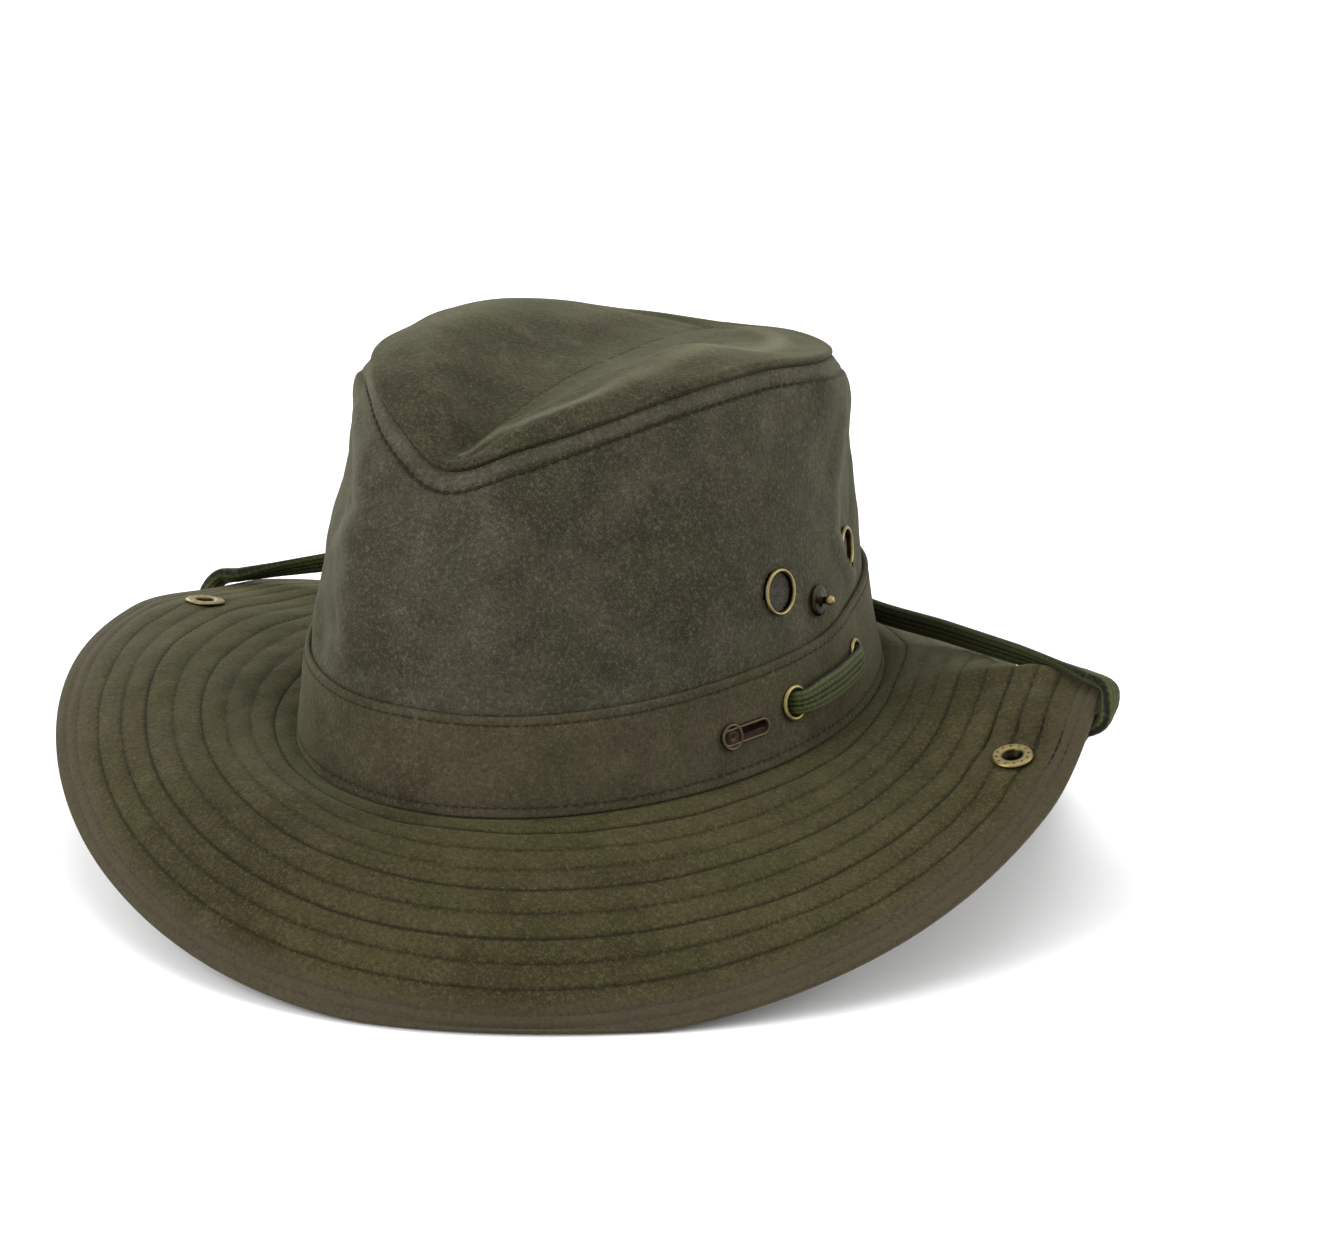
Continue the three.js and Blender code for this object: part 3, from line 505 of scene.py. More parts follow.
def make(name, points, faces, material, coords=None, worn=None):
    """A smooth mesh piece from points in millimetres, riding on the hat's one body."""
    mesh = bpy.data.meshes.new(name)
    corners = [tuple(face) for face in faces]
    mesh.from_pydata((np.asarray(points) * 0.001).tolist(), [], corners)
    if coords is not None:
        mesh.uv_layers.new(name="cloth").data.foreach_set("uv", coords.ravel())
    if worn is not None:
        mesh.attributes.new("worn", "FLOAT", "POINT").data.foreach_set("value", worn.ravel())
    mesh.shade_smooth()
    mesh.materials.append(material)
    piece = bpy.data.objects.new(name, mesh)
    bpy.context.collection.objects.link(piece)
    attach(piece, "root")
    return piece


braid = Recipe("braid", Roughness=0.7, Sheen_Weight=0.04, Specular_IOR_Level=0.15)
# The gaps between the braid's ribs and strands are painted near black as shade, and their tops green
depth = braid.node("ShaderNodeAttribute", output="Fac", attribute_name="worn")
fibre = braid.noise(900, 2)
green = braid.mix(depth.ramp(0.15, 0.95), (0.002, 0.0026, 0.0007, 1), (0.044, 0.052, 0.0115, 1))
braid.feed("Base Color", braid.mix(fibre.ramp(0.45, 0.8) * 0.35, green, (0.085, 0.092, 0.03, 1)))
braid.bump(fibre, 0.0002, 0.6)
strands = (rib_lift / rib_lift.max()).ravel()
chin_cord = make("chin_cord_braid", cord_points, cord_faces, braid.material, worn=strands)
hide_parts("chin_cord")
(ends[0][0] * 0.001).tolist()

# Brim: two layers of waxed cotton over a soft stiffener, quilted with nine rings of stitches
# and one more at the turned edge. It dips at the front and the back and turns up at the sides.
BRIM_ROWS = [0.099, 0.201, 0.301, 0.396, 0.507, 0.613, 0.71, 0.812, 0.909]
BRIM_EDGE_ROW = 0.955
BRIM_EDGE = 1.8
QUILT = 0.6
BRIM_UNEVEN = 1.2
BRIM_AROUND = 560
SNAP_FROM_EDGE = 18.5
SNAP_SHARE = 1 - SNAP_FROM_EDGE / BRIM_WIDTH
SNAP_TILT = 0.28
SNAP_REACH = 13
SNAP_TUBE = 3.4
REAR_HUMP = 6.5
brim_angles = np.arange(BRIM_AROUND) * 360 / BRIM_AROUND - 180
lines = np.array([0, *BRIM_ROWS, BRIM_EDGE_ROW, 1])


def quilted(share):
    """The puff of the cloth between two rings of stitches, from 0 at a ring to 1."""
    i = np.clip(np.searchsorted(lines, share, side="right") - 1, 0, len(lines) - 2)
    t = (share - lines[i]) / (lines[i + 1] - lines[i])
    return np.sin(math.pi * np.clip(t, 0, 1)) ** 0.4


def soft(u, v, waves):
    """A gentle uneven field from a few crossing waves: (along, across, phase, height)."""
    return sum(high * np.sin(a * u + b * v + phase) for a, b, phase, high in waves)


brim_waves = [
    (3, 4, 0.5, 0.25), (7, -9, 2.1, 0.18), (13, 5, 4, 0.12), (21, 17, 1, 0.08), (34, -23, 3, 0.05),
]
top_shares = np.concatenate([np.linspace(0, 0.9, 92)[:-1], np.linspace(0.9, 1, 16)])
angle_grid, share_grid = np.meshgrid(brim_angles, top_shares)
puff = quilted(share_grid)
upness = normal_of(brim_top, angle_grid, share_grid, UP)
uneven = soft(np.radians(angle_grid), share_grid * 2, brim_waves)
brim_fade = np.clip((1 - share_grid) / 0.03, 0, 1) * np.clip(share_grid / 0.03, 0, 1)
brim_lift = (puff - 0.75) * QUILT + uneven * BRIM_UNEVEN
brim_upper = rest(brim_top(angle_grid, share_grid) + upness * (brim_lift * brim_fade)[..., None])
under_shares = np.array([1, 0.99, 0.955, 0.93, *BRIM_ROWS[::-1], 0.05, 0])
angle_under, share_under = np.meshgrid(brim_angles, under_shares)
downness = -normal_of(brim_top, angle_under, share_under, UP)
brim_lower = rest(brim_top(angle_under, share_under) + downness * BRIM_THICKNESS)
brim_upper[..., 2] = np.maximum(brim_upper[..., 2], BRIM_EDGE)
brim_lower[..., 2] = np.maximum(brim_lower[..., 2], 0)
# At the left back the cloth rises to the cord that lies over it
both_sheets = (brim_upper, angle_grid, share_grid), (brim_lower, angle_under, share_under)
for sheet, angles, shares in both_sheets:
    hump = np.exp(-((angles - 106) / 7) ** 2) * np.clip((angles - 101) / 3.5, 0, 1)
    hump = hump * np.clip((shares - 0.3) / 0.4, 0, 1)
    sheet += (REAR_HUMP * hump)[..., None] * UP
edge = (brim_upper[-1] + brim_lower[0]) / 2 + 0.5 * (outward(brim_angles) @ LEAN.T)

# The cloth lies flatter under the left snap than around it
snap_places = {}
for side, sign in (("left", 1), ("right", -1)):
    snap_axes, centre = on_brim(sign * 90, SNAP_SHARE)
    tilt = SNAP_TILT if side == "left" else 0
    snap_up = snap_axes[:, 1]
    level_line = unit(np.cross(snap_up, UP))
    uphill = np.cross(level_line, snap_up)
    away = brim_upper - centre
    downhill = away @ -uphill
    flat = tilt * downhill * np.exp(-(np.linalg.norm(away, axis=2) / SNAP_REACH) ** 4)
    brim_upper = brim_upper + flat[..., None] * snap_up
    tilted = unit(snap_up + tilt * uphill)
    across_snap = unit(np.cross(tilted, snap_axes[:, 2]))
    snap_places[side] = np.stack([across_snap, tilted, np.cross(across_snap, tilted)], 1), centre
inner = oval(brim_angles, 1, 0) - WALL_INSET * outward(brim_angles)
brim_rings = np.concatenate([
    rest(inner)[None],
    brim_upper,
    edge[None],
    brim_lower,
    rest(inner - BRIM_THICKNESS * UP)[None],
])
# The cloth's mask: low on the rings of stitches, for painted shade in their grooves, and raised at the
# turned edge as wear
brim_wear_and_painted_shade = np.full(brim_rings.shape[:2], 0.5)
brim_wear_and_painted_shade[1:1 + len(top_shares)] = 0.05 + 0.5 * puff
brim_wear_and_painted_shade[len(top_shares) - 3:len(top_shares) + 4] = 0.6
snap_holes = [(centre - axes[:, 1] * BRIM_THICKNESS / 2, SNAP_TUBE) for axes, centre in snap_places.values()]


def band_of_cloth(name, rings, material, worn=None, holes=()):
    """A closed sheet from rings of points. Holes are (centre, radius), cut through all layers."""
    rows, count = rings.shape[:2]
    faces, ring_of, step_of = grid_faces(rows, count, close=True)
    across = np.linalg.norm(np.diff(rings, axis=0, append=rings[:1]), axis=2).mean(1)
    across = np.concatenate([[0], np.cumsum(across)])
    around_at = 2 * math.pi * math.sqrt(HEAD_HALF_WIDTH * HEAD_HALF_LENGTH) / count
    coords = np.stack([step_of * around_at, across[ring_of]], -1)
    points = rings.reshape(-1, 3)
    keep = np.ones(len(faces), bool)
    centres = points[faces].mean(1)
    for centre, radius in holes:
        keep &= np.linalg.norm(centres - centre, axis=1) > radius
    return make(name, points, faces[keep], material, coords[keep], worn)


def waxed(name, dark, light, pale, brown, green, edging=None):
    """A plain weave under patchy wax, pale on folds as wear and painted highlight, with painted shade where
    stitches pull it into grooves.
    """
    cloth = Recipe(name, Sheen_Weight=0.1, Sheen_Roughness=0.4, Specular_IOR_Level=0.06)
    cloth.shader.inputs["Sheen Tint"].default_value = (0.85, 0.9, 0.5, 1)
    where = cloth.node("ShaderNodeUVMap", uv_map="cloth")
    along = cloth.node("ShaderNodeSeparateXYZ", {0: where})
    over = cloth.node("ShaderNodeSeparateXYZ", {0: where}, 1)
    per_thread = 2 * math.pi / 0.9
    weave = (along * per_thread).sine() * (over * per_thread).sine()
    patches = cloth.noise(13, 5, 0.62)
    blots = cloth.noise(65, 5, 0.68)
    hue = cloth.noise(34, 3, 0.6)
    grain = cloth.noise(800, 3, 0.78)
    dust = cloth.noise(2200, 1, 0.5)
    creases = (cloth.noise(24, 6, 0.75) - 0.5).maths("ABSOLUTE")
    worn = cloth.node("ShaderNodeAttribute", output="Fac", attribute_name="worn")
    tone = cloth.mix((patches * 0.55 + blots * 0.45).ramp(0.4, 0.62), dark, light)
    tone = cloth.mix(hue.ramp(0.52, 0.68) * 0.5, tone, brown)
    tone = cloth.mix(hue.ramp(0.48, 0.34) * 0.5, tone, green)
    tone = cloth.mix(grain.ramp(0.5, 0.7) * 0.32 + dust.ramp(0.5, 0.75) * 0.3, tone, pale)
    tone = cloth.mix(creases.ramp(0.012, 0.0) * blots.ramp(0.46, 0.66) * 0.3, tone, pale)
    # Paler where the mask is high: rubbed wear, and painted highlight on ridges and lips
    tone = cloth.mix(worn.ramp(0.5, 1.0) * 0.55, tone, pale)
    # Painted shade: darker where the mask is low, in the grooves that stitches pull in
    painted_shade_and_dark_grain = tuple(part * 0.3 for part in dark[:3]) + (1,)
    painted_groove_shade = (worn + (grain - 0.5) * 0.35).ramp(0.47, 0.08)
    tone = cloth.mix(painted_groove_shade * 0.85, tone, painted_shade_and_dark_grain)
    if edging:
        tone = cloth.mix(over.ramp(BRIM_WIDTH - 9, BRIM_WIDTH - 1) * 0.7, tone, edging)
    cloth.feed("Base Color", cloth.mix(grain.ramp(0.48, 0.26) * 0.5, tone, painted_shade_and_dark_grain))
    cloth.feed("Roughness", patches * 0.2 + grain * 0.15 + 0.6)
    cloth.bump(weave * 0.1 + grain * 1.3 + dust * 0.5 + blots * 1.7, 0.0003, 0.8)
    return cloth.material


brim_cloth = waxed(
    "brim_cloth", (0.0235, 0.019, 0.007, 1), (0.039, 0.033, 0.013, 1), (0.095, 0.088, 0.05, 1),
    (0.034, 0.0265, 0.0145, 1), (0.0285, 0.0275, 0.0085, 1), (0.052, 0.042, 0.0285, 1),
)
brim = band_of_cloth("brim_quilted", brim_rings, brim_cloth, brim_wear_and_painted_shade, snap_holes)
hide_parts("brim")

thread = Recipe("thread", Roughness=0.8, Specular_IOR_Level=0.08)
twist = thread.noise(1400, 2)
thread.feed("Base Color", thread.mix(twist, (0.008, 0.0065, 0.004, 1), (0.028, 0.023, 0.013, 1)))
thread.bump(twist, 0.0001, 0.5)


def stitches(name, rows, pitch, radius):
    """Rows of thread: each row is points and normals along a line, cut into stitches."""
    points, faces = [], []
    profile = [(0.0, 0.35), (0.12, 0.9), (0.5, 1.0), (0.88, 0.9), (1.0, 0.35)]
    sides = 5
    for line, normals in rows:
        travel = np.concatenate([[0], np.cumsum(np.linalg.norm(np.diff(line, axis=0), axis=1))])
        count = int(travel[-1] / pitch)
        for i in range(count):
            base = len(points)
            for share, wide in profile:
                at = travel[-1] * (i + 0.1 + 0.8 * share) / count
                centre = np.array([np.interp(at, travel, line[:, k]) for k in range(3)])
                ahead = np.array([np.interp(at + 0.3, travel, line[:, k]) for k in range(3)])
                lift = unit(np.array([np.interp(at, travel, normals[:, k]) for k in range(3)]))
                along = unit(ahead - centre + 1e-9)
                side = np.cross(lift, along)
                sink = radius * (1 - math.sin(math.pi * share)) * 0.9
                for k in range(sides):
                    turn = 2 * math.pi * k / sides
                    spoke = side * math.cos(turn) + lift * math.sin(turn)
                    points.append(centre + spoke * radius * wide - lift * sink)
            for j in range(len(profile) - 1):
                for k in range(sides):
                    a, b = base + j * sides + k, base + j * sides + (k + 1) % sides
                    faces.append((a, b, b + sides, a + sides))
            first = tuple(base + k for k in range(sides))
            faces.append(first[::-1])
            faces.append(tuple(base + (len(profile) - 1) * sides + k for k in range(sides)))
    make(name, points, faces, thread.material)


brim_lines = []
for share in (*BRIM_ROWS, BRIM_EDGE_ROW):
    around_once = np.arange(0, 361, 1.0)
    normals = normal_of(brim_top, around_once, share, UP)
    waves = soft(np.radians(around_once), share * 2, brim_waves) * BRIM_UNEVEN
    line = rest(brim_top(around_once, share) + normals * (waves - 0.75 * QUILT + 0.1)[:, None])
    line[:, 2] = np.maximum(line[:, 2], BRIM_EDGE + 0.1)
    brim_lines.append((line, normals @ LEAN.T))
stitches("brim_stitching", brim_lines, pitch=3.1, radius=0.23)

# Crown wall: one layer of waxed cotton sewn to the brim at its foot and to the tip at its top.
# A seam allowance under it makes a flat ridge between the seam and a row of stitches.
# Angle and height of the vents and the stud
VENTS = {"front": (80, 48), "back": (111, 44.5)}
STUD = (91.5, 39.5)
CROWN_AROUND = 480
TUBE_WALL = 0.6
EYELET_HOLE = 3.9
EYELET_TUBE = EYELET_HOLE + TUBE_WALL
VENT_HOLE = 5.8
VENT_TUBE = VENT_HOLE + TUBE_WALL
SEAM_ROW = 5.0
SEAM_CALM = 12
WALL_UNEVEN = 1.1
ALONG_PER_DEGREE = 1.6
crown_angles = np.arange(CROWN_AROUND) * 360 / CROWN_AROUND - 180
wall_waves = [
    (2, 3, 1, 0.3), (5, -4, 2.6, 0.3), (9, 3, 0.4, 0.22),
    (14, -9, 5, 0.14), (23, 11, 2, 0.1), (37, -16, 1, 0.06),
]
band_level = band_top_level(crown_angles)
wall_low = np.linspace(0, 1, 10)[:-1, None] * band_level
above = np.concatenate([np.linspace(0, 0.9, 76)[:-1], np.linspace(0.9, 1, 22)])[:, None]
wall_high = band_level + (1 - band_level) * above
wall_shares = np.concatenate([wall_low, wall_high])
wall_angles = np.broadcast_to(crown_angles, wall_shares.shape)
below_seam = (1 - wall_shares) * seam_up(wall_angles) * CROWN_HEIGHT
wall_out = normal_of(wall_face, wall_angles, wall_shares, outward(wall_angles))
groove = np.exp(-((below_seam - SEAM_ROW) / 0.9) ** 2)
ridge = np.clip((SEAM_ROW - below_seam) / 1.5, 0, 1) * np.clip(below_seam / 1.2, 0, 1)
above_band = np.clip((wall_shares - band_level) / 0.06, 0, 1)
wall_lift = soft(np.radians(wall_angles), wall_shares * 3, wall_waves) * above_band * WALL_UNEVEN
wall_lift = wall_lift * np.clip(below_seam / SEAM_CALM, 0.15, 1)
wall_lift = wall_lift + ridge * 0.3 - groove * 0.3 * above_band
# Soft folds: points as angle and share of the wall's height, then height, reach and how much the crest is
# painted paler, as rubbing and painted highlight
folds = [
    ([(-62, 0.93), (-42, 0.86), (-29, 0.845), (-22.5, 0.795), (-25, 0.725), (-43, 0.55)], 1.5, 4.5, 1),
    ([(-75, 0.72), (-55, 0.7), (-42, 0.72)], -2.2, 9, 0),
    ([(117, 0.8), (111.5, 0.67), (105, 0.505), (108, 0.425), (112.5, 0.33)], 1.7, 5, 1),
    ([(110, 0.95), (122, 0.92), (134, 0.85)], 2.6, 11, 0),
    ([(-85, 0.93), (-62, 0.95)], 1.6, 11, 0),
    ([(126, 0.62), (120, 0.5)], -1.8, 8, 0),
    ([(-38, 0.35), (-30, 0.42)], -1.2, 9, 0),
    ([(5, 0.6), (22, 0.66), (40, 0.64)], -1.3, 12, 0),
]
crest_wear_and_highlight = 0
for line, high, reach, rubbed_and_highlit in folds:
    away = np.full(wall_angles.shape, 999.0)
    for (a0, s0), (a1, s1) in zip(line, line[1:]):
        step = np.array([(a1 - a0) * ALONG_PER_DEGREE, (s1 - s0) * CROWN_HEIGHT])
        along, up = (wall_angles - a0) * ALONG_PER_DEGREE, (wall_shares - s0) * CROWN_HEIGHT
        here = np.stack([along, up], -1)
        part = np.clip(here @ step / (step @ step), 0, 1)
        away = np.minimum(away, np.linalg.norm(here - part[..., None] * step, axis=-1))
    form = high * np.exp(-(away / reach) ** 2)
    wall_lift = wall_lift + form * above_band * np.clip(below_seam / 6, 0, 1)
    crest_wear_and_highlight = crest_wear_and_highlight + form * rubbed_and_highlit
wall_outer = rest(wall_face(wall_angles, wall_shares) + wall_out * wall_lift[..., None])
inner_shares = np.linspace(1, 0, 16)[:, None] + 0 * crown_angles
inner_angles = np.broadcast_to(crown_angles, inner_shares.shape)
wall_inner = rest(wall_face(inner_angles, inner_shares) - CROWN_CLOTH * outward(inner_angles))
wall_rings = np.concatenate([wall_outer, wall_inner])
wall_wear_and_painted_light = np.full(wall_rings.shape[:2], 0.5)
# The seam's ridge and the folds' crests are painted paler, as wear and painted highlight, and the stitch
# groove is painted darker as shade
wall_wear_and_painted_light[:len(wall_outer)] = 0.5 + 0.14 * ridge - 0.3 * groove * above_band + 0.14 * crest_wear_and_highlight


def at_height(angle, height):
    return on_face(wall_face, angle, height / (seam_up(angle) * CROWN_HEIGHT))


eyelets, vents, studs = {}, {}, {}
for side, sign in (("left", 1), ("right", -1)):
    for end, angle in EYELET_ANGLES.items():
        eyelets[f"band_eyelet_{side}_{end}"] = on_band(sign * angle)
    for end, (angle, height) in VENTS.items():
        vents[f"vent_{side}_{end}"] = at_height(sign * angle, height)
    studs[f"crown_stud_{side}"] = at_height(sign * STUD[0], STUD[1])
eyelet_holes = [(centre - axes[:, 2] * WALL_INSET / 2, EYELET_TUBE) for axes, centre in eyelets.values()]
vent_holes = [(centre - axes[:, 2] * CROWN_CLOTH / 2, VENT_TUBE) for axes, centre in vents.values()]
wall_holes = eyelet_holes + vent_holes
crown_cloth = waxed(
    "crown_cloth", (0.021, 0.018, 0.0105, 1), (0.040, 0.036, 0.0235, 1), (0.115, 0.11, 0.08, 1),
    (0.036, 0.029, 0.019, 1), (0.026, 0.0275, 0.0125, 1),
)
crown_wall = band_of_cloth("crown_wall_cloth", wall_rings, crown_cloth, wall_wear_and_painted_light, wall_holes)
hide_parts("crown_wall")

seam_angles = np.arange(0, 361, 1.0)
seam_shares = 1 - SEAM_ROW / (seam_up(seam_angles) * CROWN_HEIGHT)
seam_normals = normal_of(wall_face, seam_angles, seam_shares, outward(seam_angles))
seam_waves = soft(np.radians(seam_angles), seam_shares * 3, wall_waves) * WALL_UNEVEN * SEAM_ROW / SEAM_CALM
seam_line = rest(wall_face(seam_angles, seam_shares) + seam_normals * (seam_waves - 0.1)[:, None])
seam_rows = [(seam_line, seam_normals @ LEAN.T)]
stitches("crown_stitching", seam_rows, pitch=3.3, radius=0.42)

# Crown tip: the top panel, sewn to the wall with a rolled edge. A crease runs from the front to
# the back, with a soft lip on each side of it and a shallow dent between.
TIP_UNEVEN = 1.3
LIP_PASSES = 70
# Angle, then where the crease's lip lies and its rise, left and right, and the crease's floor
TIP_SECTIONS = [
    (0, 0.5, 0.01, 0.5, 0.01, 0.865),
    (20, 0.4, 0.025, 0.5, 0.02, 0.872),
    (42, 0.26, 0.03, 0.36, 0.02, 0.885),
    (65, 0.26, 0.035, 0.32, 0.05, 0.9),
    (90, 0.3, 0.035, 0.32, 0.075, 0.9),
    (110, 0.3, 0.005, 0.3, 0.06, 0.885),
    (135, 0.3, 0, 0.3, 0.03, 0.865),
    (155, 0.36, 0.01, 0.36, 0.01, 0.845),
    (180, 0.5, 0.005, 0.5, 0.005, 0.825),
]
lip_in = around(TIP_SECTIONS, 1, 3)
lip_rise = around(TIP_SECTIONS, 2, 4)
floor_up = around(TIP_SECTIONS, 5, 5)


def tip_face(angle, share):
    angle, share = np.broadcast_arrays(np.asarray(angle, float), np.asarray(share, float))
    seam = wall_face(angle, 1)
    zero = 0 * angle
    floor = np.stack([zero, seam[..., 1] * 0.8, floor_up(angle) * CROWN_HEIGHT], -1)
    point = seam + (floor - seam) * share[..., None]
    lip = seam[..., 2] + lip_rise(angle) * CROWN_HEIGHT
    at = lip_in(angle)
    rise = seam[..., 2] + (lip - seam[..., 2]) * np.sin(np.pi / 2 * np.minimum(share / at, 1))
    fall = (np.maximum(share, at) - at) / (1 - at)
    sink = floor[..., 2] + (lip - floor[..., 2]) * (0.5 + 0.5 * np.cos(np.pi * fall))
    point[..., 2] = np.where(share < at, rise, sink)
    return point


tip_waves = [(2, 5, 0, 0.35), (4, -8, 2, 0.3), (7, 6, 1, 0.2), (11, -13, 4, 0.12), (19, 9, 3, 0.07)]
tip_shares = np.concatenate([[0, 0.004, 0.01, 0.02, 0.035], np.linspace(0.06, 1, 76)])
tip_angles, tip_grid = np.meshgrid(crown_angles, tip_shares)
tip_lift = CROWN_CLOTH + GAP + 0.5 * np.sin(math.pi * np.clip(tip_grid / 0.06, 0, 1))
tip_fade = np.clip(tip_grid / 0.15, 0, 1) * np.clip((1 - tip_grid) / 0.25, 0, 1) ** 2
tip_lift = tip_lift + soft(np.radians(tip_angles), tip_grid * 2, tip_waves) * TIP_UNEVEN * tip_fade
tip_outer = tip_face(tip_angles, tip_grid) + UP * tip_lift[..., None]
# The lip is smoothed, so that it is soft on the right and firmer on the left
slack = np.where(tip_angles[1:-1] < 0, 0.5, 0.12) * np.clip(tip_grid[1:-1] / 0.1, 0, 1)
for _ in range(LIP_PASSES):
    level_here = tip_outer[..., 2]
    level_near = (level_here[:-2] + level_here[2:]) / 2
    tip_outer[1:-1, :, 2] += slack * (level_near - level_here[1:-1])
roll_out = outward(crown_angles)
tip_rim = tip_face(crown_angles, 0.0)
rolled = [
    tip_rim + UP * GAP,
    tip_rim + UP * (GAP + 0.35 * CROWN_CLOTH) + 0.45 * roll_out,
    tip_rim + UP * (GAP + 0.8 * CROWN_CLOTH) + 0.35 * roll_out,
]
under_tip = np.linspace(1, 0.02, 20)
tip_under = tip_face(*np.meshgrid(crown_angles, under_tip)) + UP * GAP
tip_rings = rest(np.concatenate([rolled, tip_outer, tip_under]))
# The cloth's mask: painted shade in the groove of the rolled edge, and a painted highlight along the lip,
# strong on the left side and faint on the right
tip_painted_light = np.full(tip_rings.shape[:2], 0.5)
tip_painted_light[:2] = 0.2
on_lip = np.exp(-((tip_grid - lip_in(tip_angles)) / 0.08) ** 2)
tip_painted_light[3:3 + len(tip_shares)] = 0.5 + np.where(tip_angles < 0, 0.12, 0.42) * on_lip
tip_cloth = waxed(
    "tip_cloth", (0.0165, 0.0140, 0.0073, 1), (0.034, 0.0295, 0.0168, 1), (0.11, 0.104, 0.068, 1),
    (0.029, 0.0225, 0.0130, 1), (0.022, 0.023, 0.0088, 1),
)
crown_tip = band_of_cloth("crown_tip_cloth", tip_rings, tip_cloth, tip_painted_light)
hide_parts("crown_tip")
# The crease's two sides meet on one line, where their points are joined
whole = bmesh.new()
whole.from_mesh(crown_tip.data)
bmesh.ops.remove_doubles(whole, verts=whole.verts, dist=0.00002)
whole.to_mesh(crown_tip.data)
whole.free()

# Band: a strip of the same cloth around the foot of the crown, where it hides the seam of the
# wall and the brim. Its top edge is folded in, and it is sewn on along its top and its foot.
BAND_ROWS = (2.7, BAND_HEIGHT - 2)
near_foot, near_top = [0, 0.02, 0.05, 0.08, 0.1, 0.13], np.linspace(0.9, 1, 9)
band_shares = np.concatenate([near_foot, np.linspace(0.17, 0.88, 22), near_top])
band_angles, band_grid = np.meshgrid(crown_angles, band_shares)
band_high = band_grid * BAND_HEIGHT
band_pull = np.exp(-((band_high - BAND_ROWS[0]) / 0.8) ** 2)
band_pull = band_pull + np.exp(-((BAND_ROWS[1] - band_high) / 0.7) ** 2)
band_waves = [(3, 2, 1, 0.2), (8, -3, 2, 0.15), (15, 4, 0.5, 0.12), (29, 2, 2, 0.08)]
band_lift = soft(np.radians(band_angles), band_grid * 2, band_waves) * np.sin(math.pi * band_grid)
band_lift = band_lift - 0.25 * band_pull + 0.2
band_out = outward(band_angles)
band_outer = band_face(band_angles, band_grid) + band_out * band_lift[..., None]
band_back = band_face(*np.meshgrid(crown_angles, [1, 0.5, 0])) - BAND_CLOTH * outward(crown_angles)
fold = band_face(crown_angles, 1.0) - 0.5 * BAND_CLOTH * outward(crown_angles) + 0.5 * UP
band_rings = rest(np.concatenate([band_outer, fold[None], band_back]))
# The cloth's mask is lowered along the two rows of stitches, for painted shade in their grooves
band_painted_shade = np.full(band_rings.shape[:2], 0.5)
band_painted_shade[:len(band_outer)] = 0.52 - 0.24 * band_pull
band_cloth = waxed(
    "band_cloth", (0.0265, 0.0215, 0.0115, 1), (0.044, 0.037, 0.021, 1), (0.10, 0.091, 0.06, 1),
    (0.042, 0.0325, 0.019, 1), (0.034, 0.031, 0.0145, 1),
)
hat_band = band_of_cloth("hat_band_cloth", band_rings, band_cloth, band_painted_shade, eyelet_holes)
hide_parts("hat_band")

band_lines = []
for height in BAND_ROWS:
    share = height / BAND_HEIGHT
    normals = normal_of(band_face, seam_angles, share, outward(seam_angles))
    waves = soft(np.radians(seam_angles), share * 2, band_waves) * math.sin(math.pi * share)
    line = rest(band_face(seam_angles, share) + normals * (waves - 0.05)[:, None])
    band_lines.append((line, normals @ LEAN.T))
stitches("band_stitching", band_lines, pitch=2.9, radius=0.25)


# Eyelets: two brass rings on each side of the band, that let the chin cord in and out. Each is
# pressed from sheet: a rolled rim in front, a tube through band and wall, and a washer behind.
def metal(name, dark, bright, roughness):
    """An antique finish, dark in its hollows and rubbed bright on its high parts."""
    recipe = Recipe(name, Metallic=1.0)
    stain = recipe.noise(350, 4, 0.65)
    fine = recipe.noise(2500, 2)
    high = recipe.node("ShaderNodeAttribute", output="Fac", attribute_name="worn")
    recipe.feed("Base Color", recipe.mix((high * 0.75 + stain * 0.5).ramp(0.4, 1.0), dark, bright))
    recipe.feed("Roughness", stain * 0.3 + roughness)
    recipe.bump(stain + fine * 0.3, 0.0001, 0.5)
    return recipe.material


DIMPLES_OUT = 4.8
brass = metal("aged_brass", (0.014, 0.011, 0.005, 1), (0.24, 0.19, 0.08, 1), 0.3)


def turned(name, profile, place, axis, dimples=0):
    """A round brass piece from a closed profile of (radius, height, brightness) about an axis."""
    axes, centre = place
    sides = 48
    spin = np.arange(sides) * 2 * math.pi / sides
    other = [k for k in range(3) if k != axis]
    profile = np.array(profile, float)
    dip = 0.25 * np.clip(np.cos(spin * dimples) * 2 - 1, 0, 1) if dimples else 0 * spin
    local = np.zeros((len(profile), sides, 3))
    local[..., other[0]] = profile[:, :1] * np.cos(spin)
    local[..., other[1]] = profile[:, :1] * np.sin(spin)
    dip = dip * np.exp(-((profile[:, :1] - DIMPLES_OUT) / 0.45) ** 2)
    local[..., axis] = profile[:, 1:2] - dip
    points = (local @ axes.T + centre).reshape(-1, 3)
    faces = grid_faces(len(profile), sides, close=True)[0]
    worn = profile[:, 2:3] - 3 * dip
    return make(name, points, faces, brass, worn=worn)


def riveted(hole, tube, flange, depth):
    """A rounded rim in front, the tube through the cloth and a flat washer behind."""
    middle, half = (hole + flange) / 2, (flange - hole) / 2
    turns = np.radians(np.arange(0, 181, 15))
    rim = [
        (
            middle - half * math.cos(t),
            FLANGE_LIFT + FLANGE_THICKNESS * math.sin(t),
            0.3 + 0.7 * math.sin(t),
        )
        for t in turns
    ]
    back = -depth - FLANGE_LIFT
    end = back - FLANGE_THICKNESS
    tail = [(tube, FLANGE_LIFT, 0.1), (tube, back, 0), (flange, back, 0.2), (flange, end, 0.5)]
    return rim + tail + [(hole, end, 0.5)]


